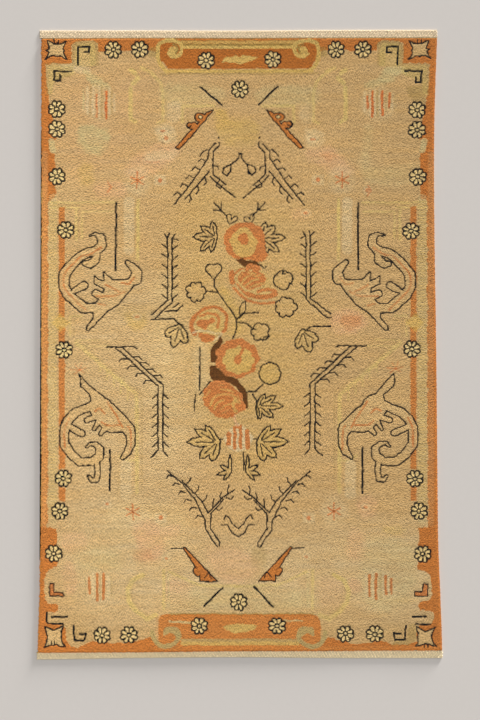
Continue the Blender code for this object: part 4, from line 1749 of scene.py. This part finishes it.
@dataclass(frozen=True)
class WoolFinish:
    """Dyed wool: the knots' own colours, broken up by fibres, with a soft sheen."""

    name: str
    attribute: str = "wool"
    roughness: float = 0.93
    specular: float = 0.15
    sheen: float = 0.10
    sheen_roughness: float = 0.6
    fibre_scale: float = 900.0
    clump_scale: float = 330.0
    fibre_depth: float = 0.35
    bump: float = 0.5
    bump_height: float = 0.0009
    clump_depth: float = 0.8

    def material(self) -> bpy.types.Material:
        """Builds the material.

        Returns:
            The new material.
        """
        material, shader = principled(
            self.name, Roughness=self.roughness, Specular_IOR_Level=self.specular,
            Sheen_Weight=self.sheen, Sheen_Roughness=self.sheen_roughness,
        )
        tree = material.node_tree
        place = add_node(tree, "ShaderNodeTexCoord", -1400, 0)
        dye = add_node(tree, "ShaderNodeVertexColor", -900, 300, layer_name=self.attribute)
        fibres = add_node(tree, "ShaderNodeTexNoise", -1150, 0, Scale=self.fibre_scale, Detail=3.0,
                          Roughness=0.7)
        clumps = add_node(tree, "ShaderNodeTexVoronoi", -1150, -300, Scale=self.clump_scale,
                          feature="SMOOTH_F1", Randomness=0.9)
        shade = add_node(tree, "ShaderNodeMapRange", -900, 0, From_Min=0.3, From_Max=0.7,
                         To_Min=1 - self.fibre_depth, To_Max=1 + self.fibre_depth)
        dyed = add_node(tree, "ShaderNodeVectorMath", -650, 200, operation="MULTIPLY")
        lift = add_node(tree, "ShaderNodeMath", -900, -300, operation="MULTIPLY")
        lift.inputs[1].default_value = -self.clump_depth
        total = add_node(tree, "ShaderNodeMath", -650, -200, operation="ADD")
        bump = add_node(tree, "ShaderNodeBump", -400, -200, Strength=self.bump, Distance=self.bump_height)
        link = tree.links.new
        link(place.outputs["Object"], fibres.inputs["Vector"])
        link(place.outputs["Object"], clumps.inputs["Vector"])
        link(fibres.outputs["Fac"], shade.inputs["Value"])
        link(dye.outputs["Color"], dyed.inputs[0])
        link(shade.outputs["Result"], dyed.inputs[1])
        link(dyed.outputs["Vector"], shader.inputs["Base Color"])
        link(clumps.outputs["Distance"], lift.inputs[0])
        link(lift.outputs[0], total.inputs[0])
        link(fibres.outputs["Fac"], total.inputs[1])
        link(total.outputs[0], bump.inputs["Height"])
        link(bump.outputs["Normal"], shader.inputs["Normal"])
        return material


@dataclass(frozen=True)
class FloorFinish:
    """A plain pale floor."""

    colour: Colour = (206, 200, 194)
    roughness: float = 0.9
    specular: float = 0.1
    mottle: float = 0.015

    def material(self) -> bpy.types.Material:
        """Builds the material.

        Returns:
            The new material.
        """
        material, shader = principled("pale_floor", Roughness=self.roughness,
                                      Specular_IOR_Level=self.specular)
        tree = material.node_tree
        place = add_node(tree, "ShaderNodeTexCoord", -900, 0)
        noise = add_node(tree, "ShaderNodeTexNoise", -700, 0, Scale=60.0, Detail=3.0)
        tint = add_node(tree, "ShaderNodeMix", -350, 0, data_type="RGBA")
        base = np.array(linear(self.colour))
        tint.inputs["A"].default_value = (*(base * (1 - self.mottle)), 1)
        tint.inputs["B"].default_value = (*(base * (1 + self.mottle)), 1)
        tree.links.new(place.outputs["Object"], noise.inputs["Vector"])
        tree.links.new(noise.outputs["Fac"], tint.inputs["Factor"])
        tree.links.new(tint.outputs["Result"], shader.inputs["Base Color"])
        return material


def new_piece(name: str, corners: np.ndarray, faces: list,
              finish: bpy.types.Material | None) -> bpy.types.Object:
    """Makes a mesh piece.

    Args:
        name: The piece's name.
        corners: Vertex places, one row each.
        faces: Vertex numbers of each face.
        finish: Its material.

    Returns:
        The piece, linked to the scene.
    """
    mesh = bpy.data.meshes.new(name)
    mesh.from_pydata(corners.tolist(), [], faces)
    mesh.validate()
    if finish:
        mesh.materials.append(finish)
    piece = bpy.data.objects.new(name, mesh)
    bpy.context.scene.collection.objects.link(piece)
    return piece


def dye_corners(mesh: bpy.types.Mesh, colours: np.ndarray) -> None:
    """Writes the wool's colour at each face corner.

    Args:
        mesh: The mesh.
        colours: Linear colours, one row for each face corner.
    """
    opaque = np.ones((len(colours), 4))
    opaque[:, :3] = colours
    layer = mesh.color_attributes.new("wool", "FLOAT_COLOR", "CORNER")
    layer.data.foreach_set("color", opaque.ravel())


def around(number: np.ndarray) -> np.ndarray:
    """Numbers round a lattice's edge, from its first corner along its first row."""
    return np.concatenate([number[0, :-1], number[:-1, -1], number[-1, :0:-1], number[:0:-1, 0]])


def wear(piece: bpy.types.Object) -> None:
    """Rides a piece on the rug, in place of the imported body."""
    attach(piece, "root")
    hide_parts("rug_body")


@dataclass
class KnottedPile:
    """The cut pile, in lengthwise stretches as its weavers sat side by side.

    Its foot is pulled in at the rug's own sides and ends, which lie beyond outer_from.
    map_* are shares of the surface map: its margin, the size of a half and the wall's lines.
    """

    form: RugForm
    chart: KnotChart
    stretches: tuple[str, ...] = ("pile_left", "pile_middle", "pile_right")
    foundation_top: float = 0.0024
    tuft_unevenness: float = 0.00012
    side_unevenness: float = 0.0005
    dark_wear: float = 0.0005
    shoulder_drop: float = 0.36
    shoulder_reach: float = 0.0014
    edge_reach: float = 0.0015
    inner_unevenness: float = 0.00018
    foot_pull: float = 0.0006
    outer_from: Place = (0.55, 0.9)
    painted_under_shade: float = 0.7
    sharp_angle: float = 55.0
    map_margin: float = 0.01
    map_half: Place = (0.45, 0.95)
    map_wall: Place = (0.975, 0.970)

    def surface(self) -> np.ndarray:
        """Places of the pile's lattice points, one more each way than there are knots.

        Returns:
            Places by row and column.
        """
        rows, columns = self.chart.rows + 1, self.chart.columns + 1
        draw = np.random.default_rng(31)
        u, v = np.meshgrid(np.linspace(0, 1, columns), np.linspace(0, 1, rows))
        x, y = self.form.pile_place(u, v)
        height = self.form.pile_height(x, y)
        left, right = self.form.sides(y)
        near, far = self.form.ends(x, "pile")
        inset = np.minimum(np.minimum(x - left, right - x), np.minimum(y - near, far - y))
        height *= 1 - self.shoulder_drop * np.exp(-inset / self.shoulder_reach)
        dark = np.zeros((rows, columns))
        for j, i in ((0, 0), (0, 1), (1, 0), (1, 1)):
            dark[j:rows - 1 + j, i:columns - 1 + i] += self.chart.dark / 4
        height += draw.normal(0, self.tuft_unevenness, height.shape) - self.dark_wear * dark
        jitter = draw.normal(0, self.side_unevenness, (2, rows, columns))
        edge_only = np.exp(-inset / self.edge_reach)
        spread = self.inner_unevenness * draw.normal(0, 1, (2, rows, columns))
        x = x + jitter[0] * edge_only + spread[0] * (1 - edge_only)
        y = y + jitter[1] * edge_only + spread[1] * (1 - edge_only)
        return np.stack([x, y, height], axis=-1)

    def stretch(self, name: str, surface: np.ndarray, first: int, last: int,
                finish: bpy.types.Material) -> bpy.types.Object:
        """Builds one closed stretch of pile.

        Args:
            name: Its name.
            surface: The whole pile's lattice points.
            first: Its first lattice column.
            last: Its last lattice column.
            finish: Its material.

        Returns:
            The piece.
        """
        top = surface[:, first:last + 1]
        rows, columns = top.shape[:2]
        number = np.arange(rows * columns).reshape(rows, columns)
        quads = np.stack([number[:-1, :-1], number[:-1, 1:], number[1:, 1:], number[1:, :-1]], -1)
        ring = around(number)
        foot = top.reshape(-1, 3)[ring].copy()
        middle = np.array([foot[:, 0].mean(), foot[:, 1].mean()])
        pull = np.sign(foot[:, :2] - middle) * self.foot_pull
        foot[:, :2] -= pull * (np.abs(foot[:, :2]) > self.outer_from)
        foot[:, 2] = self.foundation_top
        count = len(ring)
        base = rows * columns
        below = np.arange(count)
        walls = np.stack([ring, base + below, base + (below + 1) % count, np.roll(ring, -1)], -1)
        corners = np.concatenate([top.reshape(-1, 3), foot])
        faces = quads.reshape(-1, 4).tolist() + walls.tolist()
        faces.append([base + i for i in range(count)][::-1])
        piece = new_piece(name, corners, faces, finish)
        self.dye(piece.data, first, last, ring, rows, columns)
        return piece

    def dye(self, mesh: bpy.types.Mesh, first: int, last: int, ring: np.ndarray, rows: int,
            columns: int) -> None:
        """Gives each knot its colour, and lays the stretch out flat for its surface map.

        Args:
            mesh: The stretch's mesh.
            first: Its first lattice column.
            last: Its last lattice column.
            ring: Lattice numbers round the stretch's edge.
            rows: Its lattice rows.
            columns: Its lattice columns.
        """
        knots = self.chart.wool[:, first:last]
        top = np.repeat(knots.reshape(-1, 3), 4, axis=0)
        j = np.minimum(ring // columns, rows - 2)
        i = np.minimum(ring % columns, columns - 2)
        side = np.repeat(knots[j, i], 4, axis=0)
        # The pile's underside is camel painted darker, as shade under the pile
        under = np.tile(np.array(linear(Wool.CAMEL.value)) * self.painted_under_shade, (len(ring), 1))
        dye_corners(mesh, np.concatenate([top, side, under]))
        self.lay_out(mesh, ring, rows, columns)
        smooth = np.zeros(len(mesh.polygons), bool)
        smooth[:(rows - 1) * (columns - 1)] = True
        mesh.polygons.foreach_set("use_smooth", smooth)
        mesh.set_sharp_from_angle(angle=math.radians(self.sharp_angle))
        mesh.update()

    def lay_out(self, mesh: bpy.types.Mesh, ring: np.ndarray, rows: int, columns: int) -> None:
        """Writes the surface map: far half of the stretch on the left, near half on the right."""
        half = (rows - 1) // 2
        j, i = np.meshgrid(np.arange(rows - 1), np.arange(columns - 1), indexing="ij")
        corner_i = np.stack([i, i + 1, i + 1, i], -1).astype(float)
        corner_j = np.stack([j, j, j + 1, j + 1], -1).astype(float)
        nearer = (j < half)[..., None]
        u = self.map_margin + corner_i / (columns - 1) * self.map_half[0] + nearer * 0.5
        v = np.where(nearer, corner_j, corner_j - half) / (rows - 1 - half)
        v = self.map_margin + v * self.map_half[1]
        top = np.stack([u, v], -1).reshape(-1, 2)
        count = len(ring)
        step = np.arange(count) / count
        after = (np.arange(count) + 1) / count
        high, low = self.map_wall
        wall = np.stack([
            np.stack([self.map_margin + share * (1 - 2 * self.map_margin), np.full(count, line)], -1)
            for share, line in ((step, high), (step, low), (after, low), (after, high))
        ], 1).reshape(-1, 2)
        angle = np.arange(count) / count * 2 * math.pi
        under = np.stack([0.5 + 0.4 * np.cos(angle), 0.988 + 0.006 * np.sin(angle)], -1)
        layer = mesh.uv_layers.new(name="OFBake")
        layer.data.foreach_set("uv", np.concatenate([top, wall, under]).ravel())

    def build(self) -> list[bpy.types.Object]:
        """Builds all the stretches.

        Returns:
            The pieces, from left to right.
        """
        surface = self.surface()
        finish = WoolFinish("cut_wool_pile").material()
        width = self.chart.columns // len(self.stretches)
        pieces = []
        for order, name in enumerate(self.stretches):
            piece = self.stretch(name, surface, order * width, (order + 1) * width, finish)
            wear(piece)
            pieces.append(piece)
        return pieces


@dataclass
class Foundation:
    """The cotton warps and wefts under the pile, with the knots' backs on its underside."""

    form: RugForm
    chart: KnotChart
    thickness: float = 0.0024
    inset: float = 0.0004
    columns: int = 198
    rows: int = 307
    flat: tuple[float, float] = (RUG_WIDTH, RUG_LENGTH)
    rib_height: float = 0.00012
    unevenness: float = 0.00008
    weft_shares: tuple[float, float] = (0.22, 0.32)
    plain_rows: int = 7
    plain_shade: float = 0.9
    painted_rim_shade: float = 0.75
    painted_top_shade: float = 0.8

    def outline_place(self, u: np.ndarray, v: np.ndarray) -> tuple[np.ndarray, np.ndarray]:
        """Where shares across and along the whole rug come to lie."""
        across = (u - 0.5) * RUG_WIDTH
        near, far = self.form.ends(across, "edge")
        y = near + self.inset + (far - near - 2 * self.inset) * v
        left, right = self.form.sides(y)
        return left + self.inset + (right - left - 2 * self.inset) * u, y

    def build(self) -> bpy.types.Object:
        """Builds the foundation as one thin closed sheet.

        Returns:
            The piece.
        """
        rows, columns = self.rows + 1, self.columns + 1
        u, v = np.meshgrid(np.linspace(0, 1, columns), np.linspace(0, 1, rows))
        x, y = self.outline_place(u, v)
        draw = np.random.default_rng(41)
        rib = self.rib_height * (np.arange(columns) % 2)[None, :]
        rib = rib + self.unevenness * draw.uniform(0, 1, x.shape)
        under = np.stack([x, y, rib], -1).reshape(-1, 3)
        number = np.arange(rows * columns).reshape(rows, columns)
        quads = np.stack([number[:-1, :-1], number[1:, :-1], number[1:, 1:], number[:-1, 1:]], -1)
        ring = around(number)
        rim = under[ring].copy()
        rim[:, 2] = self.thickness
        count, base = len(ring), rows * columns
        below = np.arange(count)
        walls = np.stack([ring, np.roll(ring, -1), base + (below + 1) % count, base + below], -1)
        faces = quads.reshape(-1, 4).tolist() + walls.tolist()
        faces.append([base + i for i in range(count)])
        piece = new_piece("foundation", np.concatenate([under, rim]), faces,
                          WoolFinish("knot_backs", sheen=0.08, bump=0.7, bump_height=0.0006).material())
        self.dye(piece.data, count)
        wear(piece)
        return piece

    def dye(self, mesh: bpy.types.Mesh, count: int) -> None:
        """Shows the knots' backs, two by two, between lines of undyed weft.

        Args:
            mesh: The sheet's mesh.
            count: How many vertices there are round its edge.
        """
        backs = self.chart.wool[:self.rows * 2, :self.columns * 2]
        backs = backs.reshape(self.rows, 2, self.columns, 2, 3).mean(axis=(1, 3))
        cotton = np.array(linear(Wool.UNDYED.value))
        weft = np.array(self.weft_shares)[np.arange(self.rows) % 2][:, None, None]
        backs = backs * (1 - weft) + cotton * weft
        backs[:self.plain_rows] = cotton * self.plain_shade
        backs[-self.plain_rows:] = cotton * self.plain_shade
        under = np.repeat(backs.reshape(-1, 3), 4, axis=0)
        # The sheet's rim, low under the pile, is painted darker as shade
        rim = np.tile(np.array(linear(Wool.CAMEL.value)) * self.painted_rim_shade, (count * 4, 1))
        # Its top, hidden under the pile, is painted darker as shade
        top = np.tile(cotton * self.painted_top_shade, (count, 1))
        dye_corners(mesh, np.concatenate([under, rim, top]))


@dataclass
class BandMesh:
    """A band's mesh while it is built: its vertices, its faces and their corners' colours."""

    corners: list[tuple[float, float, float]] = field(default_factory=list)
    faces: list[list[int]] = field(default_factory=list)
    colours: list[np.ndarray] = field(default_factory=list)

    def add_face(self, face: list[int], shade: np.ndarray, flip: bool) -> None:
        """Adds a face in one colour, turned over if asked."""
        self.faces.append(face[::-1] if flip else face)
        self.colours += [shade] * len(face)


@dataclass
class FlatWovenEnd:
    """One end's flat-woven band: rows of slanted stitches over a plain ground.

    Widths, the slant and the overlap are shares of a stitch's pitch or row, and the profile
    gives the ground's height at shares from the pile to the outer edge.
    """

    form: RugForm
    name: str
    far: bool
    wool: Colour
    rows: int = 5
    stitch_pitch: float = 0.0046
    ground_height: float = 0.0030
    stitch_height: float = 0.0042
    seed: int = 51
    painted_ground_shade: float = 0.72
    paired_tones: tuple[float, float] = (0.92, 1.09)
    tone_spread: float = 0.09
    right_end_painted_shade: float = 0.78
    right_end_shade_length: float = 0.010
    half_width: float = 0.45
    width_spread: float = 0.08
    height_spread: float = 0.05
    slant: float = 0.25
    overlap: float = 0.08
    last_share: float = 0.97
    foot_sink: float = 0.0004
    foot_width: float = 0.45
    ridge: tuple[float, float] = (0.28, 0.72)
    ridge_drop: float = 0.0006
    least_drop: float = 0.0002
    sharp_angle: float = 50.0
    end_insets: tuple[float, float] = (0.010, 0.012)
    stations: int = 121
    profile: tuple[tuple[float, float], ...] = (
        (0.0, 0.0022), (0.02, 0.0030), (0.93, 0.0030), (0.985, 0.0026), (1.0, 0.0016), (0.995, 0.0006),
        (0.95, 0.0001), (0.0, 0.0001),
    )

    def line(self, x: float, share: float) -> float:
        """The y of a line along the band, from the pile (0) to the outer edge (1)."""
        near_pile, far_pile = self.form.ends(x, "pile")
        near_edge, far_edge = self.form.ends(x, "edge")
        start, stop = (far_pile, far_edge) if self.far else (near_pile, near_edge)
        return float(start + (stop - start) * share)

    def span(self) -> tuple[float, float]:
        """The band's left and right ends."""
        near_inset, far_inset = self.end_insets
        y = self.form.high[1] - far_inset if self.far else self.form.low[1] + near_inset
        left = self.form.edge((0, y), (-1, 0), self.form.thin)
        right = self.form.edge((0, y), (1, 0), self.form.thin)
        return left, right

    def build(self, finish: bpy.types.Material) -> bpy.types.Object:
        """Builds the band's ground strip and its stitches as one piece.

        Args:
            finish: Its material.

        Returns:
            The piece.
        """
        draw = np.random.default_rng(self.seed)
        left, right = self.span()
        band = BandMesh()
        base = np.array(linear(self.wool))
        # The ground between the stitches is painted darker, as shade between them
        self.ground(left, right, band, base * self.painted_ground_shade)
        count = int((right - left) / self.stitch_pitch)
        for row in range(self.rows):
            for i in range(count):
                column = (i + (-0.5 if self.far else 0.5) * row) % count
                x = left + (column + 0.5) * (right - left) / count
                tone = self.paired_tones[i % 2] * math.exp(draw.normal(0, self.tone_spread))
                # Painted shade on the last stitches at the right end, whose sides catch the low lamp
                tone *= self.right_end_painted_shade if x > right - self.right_end_shade_length else 1.0
                self.stitch(x, row, base * tone, draw, band)
        piece = new_piece(self.name, np.array(band.corners), band.faces, finish)
        dye_corners(piece.data, np.array(band.colours))
        piece.data.shade_smooth()
        piece.data.set_sharp_from_angle(angle=math.radians(self.sharp_angle))
        wear(piece)
        return piece

    def ground(self, left: float, right: float, band: BandMesh, shade: np.ndarray) -> None:
        """Adds the plain strip under the stitches, rounded at its outer edge.

        Args:
            left: The band's left end.
            right: The band's right end.
            band: The band so far.
            shade: The strip's colour, painted darker than the stitches as shade between them.
        """
        ring = len(self.profile)
        for x in np.linspace(left, right, self.stations):
            for share, z in self.profile:
                band.corners.append((x, self.line(x, share), z))
        for i in range(self.stations - 1):
            for k in range(ring):
                a, b = i * ring + k, i * ring + (k + 1) % ring
                band.add_face([a, b, b + ring, a + ring], shade, flip=not self.far)
        band.add_face(list(range(ring)), shade, flip=self.far)
        last = (self.stations - 1) * ring
        band.add_face(list(range(last, last + ring)), shade, flip=not self.far)

    def stitch(self, x: float, row: int, shade: np.ndarray, draw: np.random.Generator,
               band: BandMesh) -> None:
        """Adds one slanted stitch: a low ridge that tapers to both ends.

        Args:
            x: Its middle across the rug.
            row: Its row, from the pile outwards.
            shade: Its colour.
            draw: The seeded draw.
            band: The band so far.
        """
        low, high = (row - self.overlap) / self.rows, (row + 1 + self.overlap) / self.rows
        width = self.stitch_pitch * self.half_width * (1 + draw.normal(0, self.width_spread))
        shift = self.stitch_pitch * (-self.slant if self.far else self.slant)
        top = self.stitch_height * (1 + draw.normal(0, self.height_spread))
        low, high = max(low, 0.0), min(high, self.last_share)
        foot = self.ground_height - self.foot_sink
        start = len(band.corners)
        rise, fall = (low + (high - low) * share for share in self.ridge)
        for share, across, z in (
            (low, -shift, foot), (rise, -shift / 2, top), (fall, shift / 2, top), (high, shift, foot),
        ):
            wide = width * (self.foot_width if z < self.ground_height else 1.0)
            for side, drop in ((-1, 1.0), (0, 0.0), (1, 1.0)):
                px = x + across + side * wide
                lower = z - drop * max(z - self.ground_height + self.ridge_drop, self.least_drop)
                band.corners.append((px, self.line(px, share), lower))
        for k in range(3):
            for s in range(2):
                a = start + k * 3 + s
                band.add_face([a, a + 1, a + 4, a + 3], shade, flip=not self.far)
        for outline in ((0, 2, 1), (9, 10, 11), (0, 3, 6, 9, 11, 8, 5, 2)):
            band.add_face([start + k for k in outline], shade, flip=not self.far)


class Lamp(NamedTuple):
    """One soft lamp: where it shines from, and its share of the floor's light."""

    name: str
    side: float
    elevation: float
    softness: float
    share: float


@dataclass
class Studio:
    """The floor, the lights and the camera straight above."""

    fill: float = 0.33
    lamps: tuple[Lamp, ...] = (
        Lamp("key", 55, 68, 40, 0.38),
        Lamp("rake", 63, 6.8, 10, 0.28),
    )
    camera_height: float = 6.0
    view_height: float = 720 * KNOT
    pile_level: float = 0.0085
    view_middle: Place = (0.0015, -0.0471)
    sensor: float = 36.0
    floor_reach: float = 8.0
    floor_level: float = -0.0002
    lamp_distance: float = 4.0
    sight: float = 50.0

    def build(self) -> None:
        """Sets everything up."""
        self.floor()
        self.lights()
        self.camera()
        view = bpy.context.scene.view_settings
        view.view_transform = "Standard"
        view.look = "None"
        view.exposure = 0.0
        view.gamma = 1.0

    def floor(self) -> None:
        """Lays the floor."""
        reach, z = self.floor_reach, self.floor_level
        corners = np.array([(-reach, -reach, z), (reach, -reach, z), (reach, reach, z), (-reach, reach, z)])
        floor = new_piece("floor", corners, [[0, 1, 2, 3]], FloorFinish().material())

    def lights(self) -> None:
        """Hangs a soft key over the far right, a low one that rakes the pile, and a fill."""
        world = bpy.data.worlds.new("studio")
        world.use_nodes = True
        backdrop = world.node_tree.nodes["Background"]
        backdrop.inputs["Color"].default_value = (1.0, 1.0, 1.0, 1)
        backdrop.inputs["Strength"].default_value = self.fill
        bpy.context.scene.world = world
        for lamp in self.lamps:
            sun = bpy.data.lights.new(lamp.name, "SUN")
            sun.angle = math.radians(lamp.softness)
            sun.energy = math.pi * lamp.share / math.sin(math.radians(lamp.elevation))
            light = bpy.data.objects.new(lamp.name, sun)
            side, up = math.radians(lamp.side), math.radians(lamp.elevation)
            way = Vector((math.cos(side) * math.cos(up), math.sin(side) * math.cos(up), math.sin(up)))
            light.location = way * self.lamp_distance
            light.rotation_mode = "QUATERNION"
            light.rotation_quaternion = (-way).to_track_quat("-Z", "Y")
            bpy.context.scene.collection.objects.link(light)

    def camera(self) -> None:
        """Hangs the camera straight above the rug, framed as photographed."""
        lens = bpy.data.cameras.new("camera")
        lens.sensor_fit = "AUTO"
        lens.sensor_width = self.sensor
        lens.lens = self.sensor * (self.camera_height - self.pile_level) / self.view_height
        lens.clip_end = self.sight
        camera = bpy.data.objects.new("camera", lens)
        camera.location = (*self.view_middle, self.camera_height)
        bpy.context.scene.collection.objects.link(camera)
        bpy.context.scene.camera = camera


def main() -> None:
    """Builds the rug and its studio, and reports each piece."""
    logging.basicConfig(level=logging.INFO, format="%(message)s")
    form = RugForm()
    chart = KnotChart(form)
    RugPattern(chart).draw()
    chart.age()
    pile = KnottedPile(form, chart).build()
    woven = WoolFinish("flat_woven_wool", sheen=0.15, fibre_depth=0.28, bump_height=0.0005).material()
    ends = [
        FlatWovenEnd(form, "far_end", True, (236, 213, 177)).build(woven),
        # The near band's wool is painted lighter than the far band's, against the pile's shadow on it
        FlatWovenEnd(form, "near_end", False, (253, 232, 188), seed=52).build(woven),
    ]
    foundation = Foundation(form, chart).build()
    for piece in [*pile, *ends, foundation]:
        log.info("%s: %d faces", piece.name, len(piece.data.polygons))
    Studio().build()


if __name__ == "__main__":
    main()
